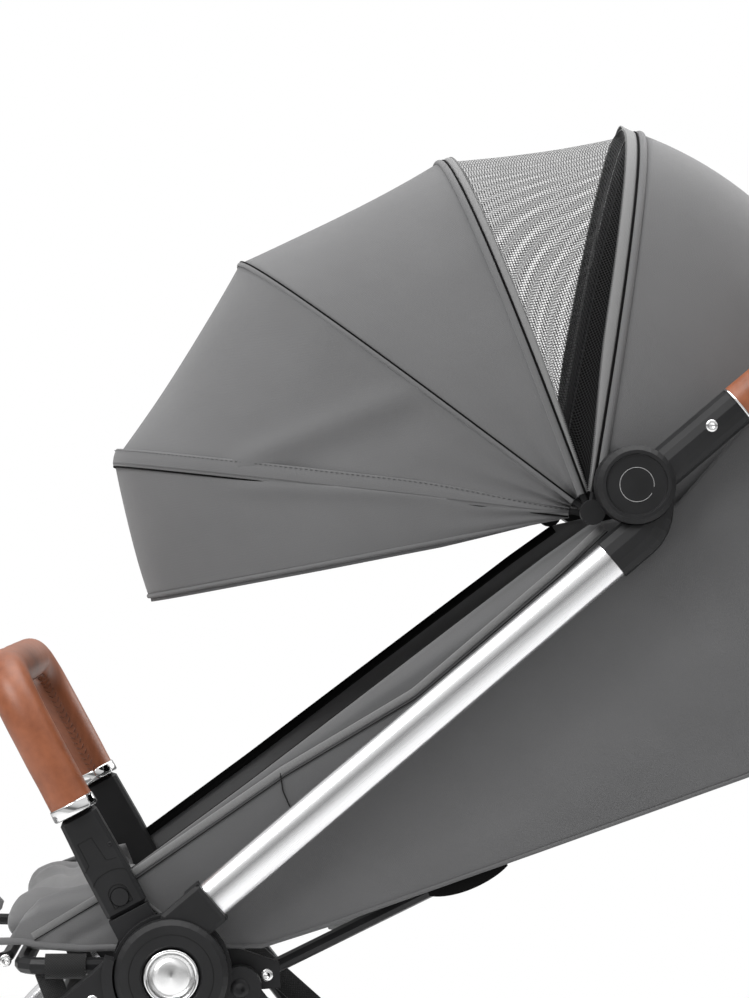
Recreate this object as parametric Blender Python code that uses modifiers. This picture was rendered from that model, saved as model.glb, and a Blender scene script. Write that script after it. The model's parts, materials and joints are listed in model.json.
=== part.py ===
"""Baby stroller: folding frame, reclining seat, fan canopy, bumper bar, casters and basket.

Metres, +Z up, forward is -X, the stroller's left side is -Y, origin at the bottom centre.
Side-view places are (x, z) pairs measured from the lower hub; `o` is a distance outboard
from the middle plane.
"""
from math import asin, cos, pi, radians, sin

import bmesh
import bpy
from mathutils import Matrix, Vector

# lower hub, from which every side-view place is measured
HUB_X = -0.156
HUB_Z = 0.420
LEFT = -1
RIGHT = 1
GAP = 0.0003

# side frame line: runs up and back through the lower hub
LINE_ANGLE = radians(40.3)
TUBE_N = 0.023
TUBE_START = 0.0615
TUBE_END = 0.470
TUBE_WIDE = 0.010
TUBE_HIGH = 0.0155
SIDE_O = 0.215

# lower hub
HUB_R = 0.044
HUB_IN = 0.222
HUB_OUT = 0.243
CAP_R = 0.0215

# front legs
LEG_START = -0.0805
LEG_KNEE = -0.165
LEG_DOWN = 0.123
LEG_SLOPE = radians(62)
CASTER_O = 0.175
CASTER_X = -0.232
TRAIL = 0.035
FRONT_WHEEL_R = 0.065
REAR_WHEEL_R = 0.080
WHEEL_W = 0.034

# rear legs
REAR_PIVOT = (0.053, -0.014)
REAR_ANGLE = radians(-52)
REAR_LENGTH = 0.4137
REAR_O = 0.193
REAR_WHEEL_O = 0.222

# seat
SEAT_FRONT = -0.120
SEAT_BACK = 0.050
SEAT_O = 0.169
BACK_HINGE = (0.074, -0.006)
BACK_ANGLE = radians(26)
BACK_LENGTH = 0.490
BACK_O = 0.152
LEG_REST_HINGE = (-0.1335, 0.003)
LEG_REST_LENGTH = 0.165
BUCKLE = (-0.025, 0.0455)

# bumper bar
BUMPER_FOOT = (-0.025, 0.029)
BUMPER_ANGLE = radians(118)
BUMPER_O = 0.197
BUMPER_TOP = 0.231
BUMPER_R = 0.0175

# upper hub and handle
TOP_HUB = (0.522, 0.056)
TOP_HUB_R = 0.031
HANDLE_N = 0.051
SLEEVE_START = 0.545
SLEEVE_END = 0.623
HANDLE_END = 0.815

# canopy
CANOPY_PIVOT = (0.330, 0.359)
BOW_R = 0.00325
SQUARENESS = 2.6
BOWS = {
    "front": (173.4, 0.381, 0.1675),
    "middle": (143.0, 0.344, 0.1750),
    "window": (110.5, 0.311, 0.1825),
    "rear": (80.5, 0.320, 0.1900),
}
VISOR_ANGLE = 191.0
VISOR_REACH = 0.361
CLOTH = 0.0015
PANEL_O = 0.1955

LINE = (cos(LINE_ANGLE), sin(LINE_ANGLE))
LINE_UP = (-sin(LINE_ANGLE), cos(LINE_ANGLE))


def clear_scene():
    for old in list(bpy.data.objects):
        bpy.data.objects.remove(old, do_unlink=True)


def new_collection(name):
    made = bpy.data.collections.new(name)
    bpy.context.scene.collection.children.link(made)
    return made


clear_scene()
PARTS = new_collection("stroller")
CUTTERS = new_collection("cutters")
AXES = new_collection("joint_axes")


def make_material(name, colour, roughness, metallic=0.0):
    made = bpy.data.materials.new(name)
    made.use_nodes = True
    shader = made.node_tree.nodes["Principled BSDF"]
    shader.inputs["Base Color"].default_value = (*colour, 1.0)
    shader.inputs["Roughness"].default_value = roughness
    shader.inputs["Metallic"].default_value = metallic
    return made


SILVER = make_material("silver_tube", (0.80, 0.80, 0.80), 0.25, 1.0)
CHROME = make_material("hub_metal", (0.85, 0.85, 0.85), 0.15, 1.0)
BLACK = make_material("black_plastic", (0.030, 0.030, 0.032), 0.45)
STEEL = make_material("black_steel", (0.025, 0.025, 0.027), 0.35)
LEATHER = make_material("brown_leather", (0.33, 0.10, 0.04), 0.45)
FABRIC = make_material("grey_fabric", (0.13, 0.13, 0.135), 0.85)
MESH = make_material("black_mesh", (0.02, 0.02, 0.02), 0.80)
TYRE = make_material("tyre", (0.02, 0.02, 0.02), 0.80)
RED = make_material("buckle_button", (0.45, 0.03, 0.03), 0.40)


# ---- places and general shapes -------------------------------------------------------

def on_line(s, n):
    """Side-view place at s along the frame line and n above it."""
    return (s * LINE[0] + n * LINE_UP[0], s * LINE[1] + n * LINE_UP[1])


def along(start, angle, distance, across=0.0):
    """Side-view place a distance along an angle, and a distance to the left of it."""
    x = start[0] + distance * cos(angle) - across * sin(angle)
    z = start[1] + distance * sin(angle) + across * cos(angle)
    return (x, z)


def world(place, y):
    return Vector((place[0] + HUB_X, y, place[1] + HUB_Z))


def side_name(name, side):
    return f"{name}_left" if side == LEFT else f"{name}_right"


def place_object(name, data, material, collection=None):
    made = bpy.data.objects.new(name, data)
    (collection or PARTS).objects.link(made)
    if material:
        data.materials.append(material)
    return made


def mesh_from(bm, name):
    mesh = bpy.data.meshes.new(name)
    bm.to_mesh(mesh)
    bm.free()
    return mesh


def round_shading(made, angle=35):
    made.data.shade_smooth()
    made.data.set_sharp_from_angle(angle=radians(angle))
    return made


def as_mesh(curve_object, name, material):
    """Turn a curve object into a closed mesh object in the same place."""
    bpy.context.view_layer.update()
    graph = bpy.context.evaluated_depsgraph_get()
    mesh = bpy.data.meshes.new_from_object(curve_object.evaluated_get(graph))
    bm = bmesh.new()
    bm.from_mesh(mesh)
    bmesh.ops.remove_doubles(bm, verts=bm.verts, dist=0.00001)
    bmesh.ops.dissolve_limit(bm, angle_limit=radians(0.05), verts=bm.verts, edges=bm.edges)
    bmesh.ops.recalc_face_normals(bm, faces=bm.faces)
    bm.to_mesh(mesh)
    bm.free()
    mesh.name = name
    mesh.materials.clear()
    made = place_object(name, mesh, material)
    made.matrix_world = curve_object.matrix_world
    bpy.data.objects.remove(curve_object, do_unlink=True)
    return round_shading(made)


def poly_curve(name, points, closed, dimensions="3D"):
    curve = bpy.data.curves.new(name, "CURVE")
    curve.dimensions = dimensions
    spline = curve.splines.new("POLY")
    spline.points.add(len(points) - 1)
    for spot, point in zip(spline.points, points):
        spot.co = (*point, 1.0)
    spline.use_cyclic_u = closed
    return curve


def soften(made, width, segments=1):
    bevel = made.modifiers.new("edge", "BEVEL")
    bevel.width = width
    bevel.segments = segments
    bevel.limit_method = "ANGLE"
    bevel.angle_limit = radians(50)
    return made


def hold(child, parent):
    """Parent a child without moving it."""
    bpy.context.view_layer.update()
    child.parent = parent
    child.matrix_parent_inverse = parent.matrix_world.inverted()


def combine(base, tool, how="UNION"):
    """Join a tool to a base, or cut it out, keeping one closed body."""
    PARTS.objects.unlink(tool)
    CUTTERS.objects.link(tool)
    tool.hide_render = True
    tool.display_type = "WIRE"
    step = base.modifiers.new(how.lower(), "BOOLEAN")
    step.operation = how
    step.solver = "EXACT"
    step.object = tool
    hold(tool, base)
    return base


def rounded(points, radius, steps=4, closed=False):
    """A path through points with each corner rounded."""
    points = [Vector(p) for p in points]
    count = len(points)
    path = []
    for i, corner in enumerate(points):
        if not closed and i in (0, count - 1):
            path.append(corner)
            continue
        to_last = points[i - 1] - corner
        to_next = points[(i + 1) % count] - corner
        reach = min(radius, to_last.length * 0.49, to_next.length * 0.49)
        first = corner + to_last.normalized() * reach
        last = corner + to_next.normalized() * reach
        for k in range(steps + 1):
            t = k / steps
            path.append(first * (1 - t) ** 2 + corner * 2 * t * (1 - t) + last * t ** 2)
    return path


def section(wide, high, sides):
    """Closed outline that a bar keeps along its path."""
    turns = [2 * pi * (k + 0.5) / sides for k in range(sides)]
    outline = [(wide * cos(t), high * sin(t), 0) for t in turns]
    guide = place_object("section", poly_curve("section", outline, True, "2D"), None, CUTTERS)
    guide.hide_render = True
    guide.display_type = "WIRE"
    return guide


def bar(name, path, wide, high, material, sides=12, closed=False):
    """A bar along a path: wide is its half size across, high its half size upwards."""
    curve = poly_curve(name, path, closed)
    curve.twist_mode = "MINIMUM"
    curve.bevel_mode = "OBJECT"
    curve.bevel_object = section(wide, high, sides)
    curve.use_fill_caps = not closed
    return as_mesh(place_object(name + "_path", curve, None), name, material)


def plate(name, outline, near, far, side, material, edge=0.0):
    """A flat plate: a side-view outline between two distances outboard."""
    curve = poly_curve(name, [(x, z, 0) for x, z in outline], True, "2D")
    curve.fill_mode = "BOTH"
    curve.extrude = abs(far - near) / 2
    flat = place_object(name + "_outline", curve, None)
    flat.location = (HUB_X, side * (near + far) / 2, HUB_Z)
    flat.rotation_euler = (pi / 2, 0, 0)
    made = as_mesh(flat, name, material)
    if edge:
        soften(made, edge)
    return made


def point_at(made, axis):
    """Turn an object so that its own +Z runs along the axis."""
    made.rotation_mode = "QUATERNION"
    made.rotation_quaternion = Vector(axis).to_track_quat("Z", "Y")


def turned(name, profile, centre, axis, material, sides=32):
    """A round piece: (radius, distance along the axis) points turned about the axis."""
    bm = bmesh.new()
    points = [bm.verts.new((radius, 0, rise)) for radius, rise in reversed(profile)]
    for first, second in zip(points, points[1:]):
        bm.edges.new((first, second))
    if profile[0][0] > 0:
        bm.edges.new((points[-1], points[0]))
    made = place_object(name, mesh_from(bm, name), material)
    made.location = centre
    point_at(made, axis)
    screw = made.modifiers.new("turn", "SCREW")
    screw.steps = sides
    screw.render_steps = sides
    screw.use_merge_vertices = True
    screw.merge_threshold = 0.00001
    screw.use_smooth_shade = True
    return made


def disc(name, place, radius, near, far, side, material, sides=24):
    """A short cylinder lying across the stroller."""
    bm = bmesh.new()
    bmesh.ops.create_cone(bm, cap_ends=True, segments=sides, radius1=radius, radius2=radius,
                          depth=abs(far - near))
    made = place_object(name, mesh_from(bm, name), material)
    made.location = world(place, side * (near + far) / 2)
    point_at(made, (0, side, 0))
    return round_shading(made)


def box(name, centre, size, material, turn=0.0, edge=0.0, segments=2):
    """A box at a centre, turned in side view about its middle."""
    bm = bmesh.new()
    bmesh.ops.create_cube(bm, size=1.0, matrix=Matrix.Diagonal((*size, 1.0)))
    made = place_object(name, mesh_from(bm, name), material)
    made.location = centre
    made.rotation_euler = (0, -turn, 0)
    if edge:
        soften(made, edge, segments)
    return made


def slab(name, start, angle, span, thick, half_width, material, edge=0.0, segments=2):
    """A box along a side-view angle: span and thick are (from, to) along and above it."""
    middle = along(start, angle, (span[0] + span[1]) / 2, (thick[0] + thick[1]) / 2)
    size = (span[1] - span[0], 2 * half_width, thick[1] - thick[0])
    return box(name, world(middle, 0), size, material, angle, edge, segments)


def arc(centre, radius, start, end, steps):
    """Side-view places on an arc, angles in degrees."""
    turns = [radians(start + (end - start) * k / steps) for k in range(steps + 1)]
    return [along(centre, turn, radius) for turn in turns]


# ---- side frame ----------------------------------------------------------------------

def frame_tube(side):
    path = [world(on_line(s, TUBE_N), side * SIDE_O) for s in (TUBE_START, TUBE_END)]
    return bar(side_name("frame_tube", side), path, TUBE_WIDE, TUBE_HIGH, SILVER, 20)


def lower_hub(side):
    """Round hub housing with the short socket that holds the frame tube."""
    name = side_name("lower_hub", side)
    profile = [
        (0, HUB_IN), (HUB_R, HUB_IN), (HUB_R, HUB_OUT - 0.004), (HUB_R - 0.004, HUB_OUT),
        (CAP_R + 0.003, HUB_OUT), (CAP_R + 0.001, HUB_OUT - 0.002),
        (CAP_R + 0.001, 0.236), (0, 0.236),
    ]
    hub = turned(name, profile, world((0, 0), 0), (0, side, 0), BLACK, 36)
    outline = [on_line(s, n) for s, n in (
        (TUBE_START - GAP, 0.005), (TUBE_START - GAP, 0.041), (0.024, 0.041),
        (0.018, 0.034), (0.034, 0.005))]
    arm = plate(name + "_arm", outline, HUB_IN + 0.0005, 0.236, side, BLACK, 0.003)
    combine(hub, arm)
    outline = [on_line(s, n) for s, n in (
        (TUBE_START - GAP, 0.005), (TUBE_START - GAP, 0.041), (0.047, 0.041), (0.047, 0.005))]
    socket = plate(name + "_socket", outline, 0.203, 0.230, side, BLACK)
    return combine(hub, socket)


def hub_cap(side):
    profile = [
        (0, 0.236 + GAP), (CAP_R, 0.236 + GAP), (CAP_R, 0.2425), (CAP_R - 0.0015, 0.244),
        (CAP_R - 0.004, 0.244), (CAP_R - 0.0055, 0.2425), (CAP_R - 0.006, 0.241), (0, 0.2438),
    ]
    return turned(side_name("hub_cap", side), profile, world((0, 0), 0), (0, side, 0), CHROME, 36)


def elbow(side):
    """Black upper corner: frame tube socket, half of the handle hub and the canopy mount."""
    name = side_name("elbow", side)
    hub = on_line(*TOP_HUB)
    corners = [
        world(on_line(s, n), side * SIDE_O)
        for s, n in ((TUBE_END + GAP, TUBE_N), (0.512, TUBE_N), (0.530, 0.046))
    ]
    bend = bar(name, rounded(corners, 0.028, 4), 0.012, 0.0175, BLACK, 14)
    combine(bend, disc(name + "_half", hub, TOP_HUB_R, 0.200, 0.2155, side, BLACK, 32))
    combine(bend, disc(name + "_mount", CANOPY_PIVOT, 0.010, 0.1958, 0.2060, side, BLACK, 20))
    room = disc(name + "_room", hub, TOP_HUB_R + 2 * GAP, 0.2156, 0.25, side, BLACK, 32)
    return combine(bend, room, "DIFFERENCE")


# ---- front legs ----------------------------------------------------------------------

def leg_fitting(side):
    """Cup that turns round the lower hub and holds the front leg."""
    name = side_name("leg_fitting", side)
    cup = arc((0, 0), 0.054, 165, 285, 16)
    cup += [along((0, 0), radians(285), 0.0455)]
    cup += arc((0, 0), 0.0455, 285, 165, 16)[1:]
    fitting = plate(name, cup, 0.2110, 0.240, side, BLACK)
    outline = [on_line(s, n) for s, n in (
        (-0.048, 0.005), (LEG_START + GAP, 0.005), (LEG_START + GAP, 0.041), (-0.036, 0.041))]
    combine(fitting, plate(name + "_arm", outline, 0.203, 0.236, side, BLACK))
    return combine(fitting, disc(name + "_disc", (0, 0), 0.0468, 0.2098, 0.2215, side, BLACK, 36))


def leg_foot():
    knee = on_line(LEG_KNEE, TUBE_N)
    return (knee[0] - LEG_DOWN / sin(LEG_SLOPE) * cos(LEG_SLOPE), knee[1] - LEG_DOWN)


def front_leg(side):
    knee = on_line(LEG_KNEE, TUBE_N)
    corners = [
        world(on_line(LEG_START, TUBE_N), side * SIDE_O),
        world(knee, side * SIDE_O),
        world(leg_foot(), side * CASTER_O),
    ]
    path = rounded(corners, 0.05, 5)
    return bar(side_name("front_leg", side), path, 0.010, 0.0145, SILVER, 16)


def front_cross_tube():
    place = on_line(-0.100, TUBE_N)
    ends = [world(place, y) for y in (-(SIDE_O - 0.0104), SIDE_O - 0.0104)]
    return bar("front_cross_tube", ends, 0.009, 0.009, STEEL)


def caster_housing(side):
    name = side_name("caster_housing", side)
    centre = world((CASTER_X, 0), side * CASTER_O)
    profile = [(0, -0.2715), (0.018, -0.2715), (0.018, -0.228), (0.013, -0.221), (0, -0.221)]
    housing = turned(name, profile, centre, (0, 0, 1), BLACK, 24)
    foot = world(leg_foot(), side * CASTER_O)
    knee = world(on_line(LEG_KNEE, TUBE_N), side * SIDE_O)
    down = (foot - knee).normalized()
    path = [foot + down * GAP * 2, foot + down * 0.030]
    return combine(housing, bar(name + "_neck", path, 0.0125, 0.017, BLACK, 14))


def wheel_place(front):
    if front:
        return (CASTER_X + TRAIL, FRONT_WHEEL_R - HUB_Z)
    return (along(REAR_PIVOT, REAR_ANGLE, REAR_LENGTH)[0], REAR_WHEEL_R - HUB_Z)


def caster_fork(side):
    name = side_name("caster_fork", side)
    centre = world((CASTER_X, 0), side * CASTER_O)
    profile = [(0, -0.2850), (0.020, -0.2850), (0.020, -0.2740), (0.017, -0.2718), (0, -0.2718)]
    fork = turned(name, profile, centre, (0, 0, 1), BLACK, 24)
    axle = wheel_place(True)
    outline = [
        (CASTER_X - 0.017, -0.2745), (CASTER_X - 0.019, -0.2850),
        along(axle, radians(215), 0.012), along(axle, radians(270), 0.012),
        along(axle, radians(325), 0.012), along(axle, radians(20), 0.012),
        (CASTER_X + 0.018, -0.2850), (CASTER_X + 0.016, -0.2745),
    ]
    for shift in (-1, 1):
        inner, outer = shift * (WHEEL_W / 2 + 0.0015), shift * (WHEEL_W / 2 + 0.0050)
        cheek = plate(f"{name}_cheek", outline, CASTER_O + inner, CASTER_O + outer, side, BLACK)
        combine(fork, cheek)
    middle = world((CASTER_X, -0.2795), side * CASTER_O)
    return combine(fork, box(name + "_crown", middle, (0.024, 0.043, 0.008), BLACK))


def tyre(name, place, radius, middle, side):
    half = WHEEL_W / 2
    profile = [
        (radius - 0.018, -half + 0.003), (radius - 0.009, -half), (radius - 0.002, -half * 0.55),
        (radius, 0), (radius - 0.002, half * 0.55), (radius - 0.009, half),
        (radius - 0.018, half - 0.003),
    ]
    return turned(side_name(name, side), profile, world(place, side * middle), (0, side, 0), TYRE,
                  24)


def rim(name, place, radius, middle, side):
    half = WHEEL_W / 2
    edge = radius - 0.018 - GAP
    profile = [
        (0, -half), (0.013, -half), (0.016, -0.006), (edge - 0.007, -0.004),
        (edge, -half + 0.005), (edge, half - 0.005),
        (edge - 0.007, 0.004), (0.016, 0.006), (0.013, half), (0, half),
    ]
    return turned(side_name(name, side), profile, world(place, side * middle), (0, side, 0), BLACK,
                  24)


# ---- rear legs -----------------------------------------------------------------------

def rear_leg(side):
    """Rear leg with its pivot boss, axle block and brake lug."""
    name = side_name("rear_leg", side)
    ends = [along(REAR_PIVOT, REAR_ANGLE, t) for t in (0.008, REAR_LENGTH)]
    path = [world(p, side * REAR_O) for p in ends]
    leg = bar(name, path, 0.0078, 0.012, STEEL, 14)
    combine(leg, disc(name + "_boss", REAR_PIVOT, 0.017, 0.184, 0.2014, side, STEEL, 24))
    axle = wheel_place(False)
    combine(leg, disc(name + "_axle", axle, 0.017, 0.183, 0.2025, side, STEEL, 24))
    combine(leg, disc(name + "_stub", axle, 0.010, 0.190, REAR_WHEEL_O - WHEEL_W / 2 - GAP,
                      side, STEEL, 16))
    outline = [along(REAR_PIVOT, REAR_ANGLE, t, w) for t, w in (
        (0.370, -0.006), (0.392, -0.006), (0.395, 0.036), (0.376, 0.036))]
    return combine(leg, plate(name + "_lug", outline, 0.1765, 0.190, side, STEEL))


def rear_cross_tube():
    place = along(REAR_PIVOT, REAR_ANGLE, 0.330)
    ends = [world(place, y) for y in (-0.1848, 0.1848)]
    return bar("rear_cross_tube", ends, 0.009, 0.009, STEEL)


def brake_place():
    return along(REAR_PIVOT, REAR_ANGLE, 0.385, 0.028)


def brake_pedal():
    place = brake_place()
    ends = [world(place, y) for y in (-0.1762, 0.1762)]
    pedal = bar("brake_pedal", ends, 0.006, 0.006, BLACK)
    middle = world((place[0] + 0.0285, place[1]), 0)
    return combine(pedal, box("brake_plate", middle, (0.055, 0.072, 0.009), BLACK, edge=0.003,
                              segments=1))


# ---- seat ----------------------------------------------------------------------------

def seat_frame():
    """Seat tube loop with the two side brackets that carry the bumper sockets."""
    corners = [
        world((SEAT_FRONT, 0), -SEAT_O), world((SEAT_FRONT, 0), SEAT_O),
        world((SEAT_BACK, 0), SEAT_O), world((SEAT_BACK, 0), -SEAT_O),
    ]
    path = rounded(corners, 0.022, 3, closed=True)
    loop = bar("seat_frame", path, 0.007, 0.007, STEEL, 10, closed=True)
    for side in (LEFT, RIGHT):
        outline = [
            (-0.045, -0.009), (0.060, -0.018), (0.085, -0.016), (0.084, 0.004), (0.066, 0.010),
            (0.010, 0.030), (-0.008, 0.045), (-0.038, 0.036), (-0.047, 0.010),
        ]
        combine(loop, plate(f"bracket_{side}", outline, 0.1745, 0.1832, side, STEEL))
        outline = [along(BUMPER_FOOT, BUMPER_ANGLE, q, w) for q, w in (
            (-0.014, -0.017), (0.020, -0.017), (0.020, 0.017), (-0.014, 0.017))]
        combine(loop, plate(f"socket_{side}", outline, 0.1800, 0.2088, side, STEEL))
    return loop


def seat_pad():
    return slab("seat_pad", (0, 0), 0.0, (-0.127, 0.045), (0.0078, 0.0450), 0.160, FABRIC, 0.012)


def backrest_frame():
    """Bent rod: it comes in from the hinge on each side and runs round the backrest."""
    top = along(BACK_HINGE, BACK_ANGLE, BACK_LENGTH)
    foot = along(BACK_HINGE, BACK_ANGLE, 0.0)
    corners = [
        world(foot, -0.1742), world(foot, -BACK_O), world(top, -BACK_O),
        world(top, BACK_O), world(foot, BACK_O), world(foot, 0.1742),
    ]
    path = rounded(corners, 0.022, 4)
    return bar("backrest_frame", path, 0.006, 0.006, STEEL, 8)


def backrest_pad():
    return slab("backrest_pad", BACK_HINGE, BACK_ANGLE, (0.045, 0.476), (-0.004, 0.024),
                0.1425, FABRIC, 0.010)


def leg_rest_frame():
    x = LEG_REST_HINGE[0]
    z = LEG_REST_HINGE[1]
    corners = [
        world((x, z), -0.150), world((x - LEG_REST_LENGTH, z), -0.150),
        world((x - LEG_REST_LENGTH, z), 0.150), world((x, z), 0.150),
    ]
    path = rounded(corners, 0.025, 3, closed=True)
    return bar("leg_rest_frame", path, 0.005, 0.005, STEEL, 8, closed=True)


def leg_rest_pad():
    span = (-LEG_REST_LENGTH, -0.0115)
    return slab("leg_rest_pad", LEG_REST_HINGE, 0.0, span, (0.0058, 0.0270), 0.152, FABRIC, 0.008)


def buckle():
    body = slab("harness_buckle", BUCKLE, 0.0, (-0.020, 0.020), (0.0, 0.012), 0.022, BLACK, 0.003, 1)
    room = slab("buckle_room", BUCKLE, 0.0, (-0.0095, 0.0095), (0.0075, 0.020), 0.0125, BLACK)
    return combine(body, room, "DIFFERENCE")


def buckle_button():
    span = (-0.0091, 0.0091)
    return slab("buckle_button", BUCKLE, 0.0, span, (0.0100, 0.0135), 0.0121, RED, 0.001, 1)


def side_panel(side):
    """Cloth wall between the seat and the side frame."""
    outline = [
        (0.014, 0.030), (0.041, 0.017), (0.070, 0.017), (0.455, 0.1515), (0.540, 0.205),
        (0.580, 0.300), (0.560, 0.395), (0.500, 0.440), (0.420, 0.400), (0.345, 0.330),
        (0.305, 0.318), (0.188, 0.220), (0.085, 0.160), (-0.008, 0.098), (-0.010, 0.070),
    ]
    return plate(side_name("side_panel", side), outline, PANEL_O, PANEL_O + CLOTH, side, FABRIC)


# ---- bumper bar ----------------------------------------------------------------------

def bumper_adapter(side):
    name = side_name("bumper_adapter", side)
    outline = [along(BUMPER_FOOT, BUMPER_ANGLE, q, w) for q, w in (
        (0.0203, -0.017), (0.060, -0.017), (0.106, -0.0155), (0.106, 0.0155), (0.060, 0.017),
        (0.0203, 0.017))]
    adapter = plate(name, outline, 0.1850, 0.2090, side, BLACK, 0.003)
    centre = along(BUMPER_FOOT, BUMPER_ANGLE, 0.0335)
    return combine(adapter, disc(name + "_room", centre, 0.0074, 0.2030, 0.22, side, BLACK, 16),
                   "DIFFERENCE")


def bumper_button(side):
    centre = along(BUMPER_FOOT, BUMPER_ANGLE, 0.0335)
    return disc(side_name("bumper_button", side), centre, 0.0070, 0.2062, 0.2105, side, BLACK, 16)


def bumper_bar():
    foot = along(BUMPER_FOOT, BUMPER_ANGLE, 0.1064)
    top = along(BUMPER_FOOT, BUMPER_ANGLE, BUMPER_TOP)
    corners = [
        world(foot, -BUMPER_O), world(top, -BUMPER_O), world(top, BUMPER_O), world(foot, BUMPER_O),
    ]
    path = rounded(corners, 0.120, 7)
    return bar("bumper_bar", path, BUMPER_R, BUMPER_R, LEATHER, 12)


# ---- handle --------------------------------------------------------------------------

def handle_sleeve(side):
    """Outer half of the upper hub with the sleeve that holds the grip."""
    name = side_name("handle_sleeve", side)
    hub = on_line(*TOP_HUB)
    path = [world(on_line(s, HANDLE_N), side * SIDE_O) for s in (SLEEVE_START, SLEEVE_END)]
    sleeve = bar(name, path, 0.0155, 0.0165, BLACK, 16)
    room = disc(name + "_room", hub, TOP_HUB_R + 2 * GAP, 0.19, 0.2157, side, BLACK, 32)
    combine(sleeve, room, "DIFFERENCE")
    profile = [
        (0, 0.2157), (TOP_HUB_R, 0.2157), (TOP_HUB_R, 0.2300), (TOP_HUB_R - 0.004, 0.2345),
        (0.0245, 0.2345), (0.0235, 0.2325), (0, 0.2325),
    ]
    face = turned(name + "_face", profile, world(hub, 0), (0, side, 0), BLACK, 32)
    return combine(sleeve, face)


def handle_grip(side):
    corners = [
        world(on_line(SLEEVE_END + GAP, HANDLE_N), side * SIDE_O),
        world(on_line(HANDLE_END, HANDLE_N), side * SIDE_O),
        world(on_line(HANDLE_END, HANDLE_N), side * (0.045 + GAP)),
    ]
    path = rounded(corners, 0.080, 6)
    return bar(side_name("handle_grip", side), path, 0.0165, 0.0165, LEATHER)


def handle_housing():
    centre = on_line(HANDLE_END, HANDLE_N)
    body = slab("handle_housing", centre, LINE_ANGLE, (-0.021, 0.021), (-0.020, 0.022),
                0.045, BLACK, 0.006)
    room = turned("housing_room", [(0, 0.017), (0.0144, 0.017), (0.0144, 0.04), (0, 0.04)],
                  world(centre, 0), (LINE_UP[0], 0, LINE_UP[1]), BLACK, 20)
    return combine(body, room, "DIFFERENCE")


def fold_button():
    centre = on_line(HANDLE_END, HANDLE_N)
    profile = [(0, 0.0202), (0.0140, 0.0202), (0.0140, 0.0238), (0.0125, 0.0250), (0, 0.0250)]
    return turned("fold_button", profile, world(centre, 0), (LINE_UP[0], 0, LINE_UP[1]), CHROME, 20)


# ---- canopy --------------------------------------------------------------------------

def arch(angle, reach, half_width, lowest=0.0, shift=0.0, steps=20):
    """Points of a bow lying in a plane through the canopy pivots, shift to one side of it."""
    turn = radians(angle)
    power = 2 / SQUARENESS
    start = asin((lowest / reach) ** (1 / power))
    points = []
    for k in range(steps + 1):
        swing = start + (pi - 2 * start) * k / steps
        high = reach * abs(sin(swing)) ** power
        wide = half_width * abs(cos(swing)) ** power
        wide = wide if cos(swing) > 0 else -wide
        points.append(world(along(CANOPY_PIVOT, turn, high, shift), wide))
    return points


def canopy_bow(which):
    angle, reach, half_width = BOWS[which]
    path = arch(angle, reach, half_width, steps=20)
    return bar(f"canopy_bow_{which}", path, BOW_R, BOW_R, STEEL, 6)


def cloth_between(name, rows, material):
    """Thin cloth through rows of points."""
    bm = bmesh.new()
    grid = [[bm.verts.new(p) for p in row] for row in rows]
    for low, high in zip(grid, grid[1:]):
        for k in range(len(low) - 1):
            bm.faces.new((low[k], low[k + 1], high[k + 1], high[k]))
    bmesh.ops.recalc_face_normals(bm, faces=bm.faces)
    made = round_shading(place_object(name, mesh_from(bm, name), material))
    solid = made.modifiers.new("cloth", "SOLIDIFY")
    solid.thickness = CLOTH
    solid.offset = 0.0
    solid.use_even_offset = True
    return made


def blend(first, last, t, sag=0.0):
    return first + (last - first) * t - sag * 4 * t * (1 - t)


def canopy_panel(name, ahead, behind, material, sag, spans=4):
    """Cloth between two bows, drawn in a little where no bow holds it."""
    a, b = BOWS[ahead], BOWS[behind]
    margin = BOW_R + 0.003
    rows = []
    for k in range(spans + 1):
        t = k / spans
        reach = blend(a[1], b[1], t, sag)
        width = blend(a[2], b[2], t)
        angle = blend(a[0], b[0], t)
        rows.append(arch(angle, reach, width, 0.060, blend(-margin, margin, t), 16))
    return cloth_between(name, rows, material)


def canopy_visor():
    angle, reach, width = BOWS["front"]
    margin = BOW_R + 0.003
    rows = []
    for k in range(3):
        t = k / 2
        turn = blend(angle, VISOR_ANGLE, t)
        rows.append(arch(turn, blend(reach, VISOR_REACH, t), width, 0.060, margin * (1 - t), 18))
    return cloth_between("canopy_visor", rows, FABRIC)


def canopy_rear_panel(spans=7, middle=31.0, last=-26.0):
    """Cloth from the rear bow down behind the backrest."""
    angle, reach, width = BOWS["rear"]
    margin = BOW_R + 0.003
    rows = []
    for k in range(spans + 1):
        t = k / spans
        turn = blend(angle, last, t)
        fall = min(1.0, (angle - turn) / (angle - middle))
        away = max(0.0, (middle - turn) / (middle - last))
        size = reach - 0.046 * fall - 0.012 * away
        rows.append(arch(turn, size, width - 0.002, 0.070, -margin * (1 - t), 14))
    return cloth_between("canopy_rear_panel", rows, FABRIC)


# ---- basket --------------------------------------------------------------------------

def basket():
    """Open cloth tray under the seat."""
    bm = bmesh.new()
    bmesh.ops.create_cube(bm, size=1.0, matrix=Matrix.Diagonal((0.295, 0.300, 0.120, 1.0)))
    bm.faces.ensure_lookup_table()
    top = max(bm.faces, key=lambda face: face.calc_center_median().z)
    bmesh.ops.delete(bm, geom=[top], context="FACES_ONLY")
    for vert in bm.verts:
        if vert.co.z < 0:
            vert.co.x *= 0.85
            vert.co.y *= 0.90
    made = place_object("basket", mesh_from(bm, "basket"), FABRIC)
    made.location = world((0.0875, -0.215), 0)
    solid = made.modifiers.new("cloth", "SOLIDIFY")
    solid.thickness = 0.0025
    solid.offset = -1.0
    return made


# ---- joint axes ----------------------------------------------------------------------

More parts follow.
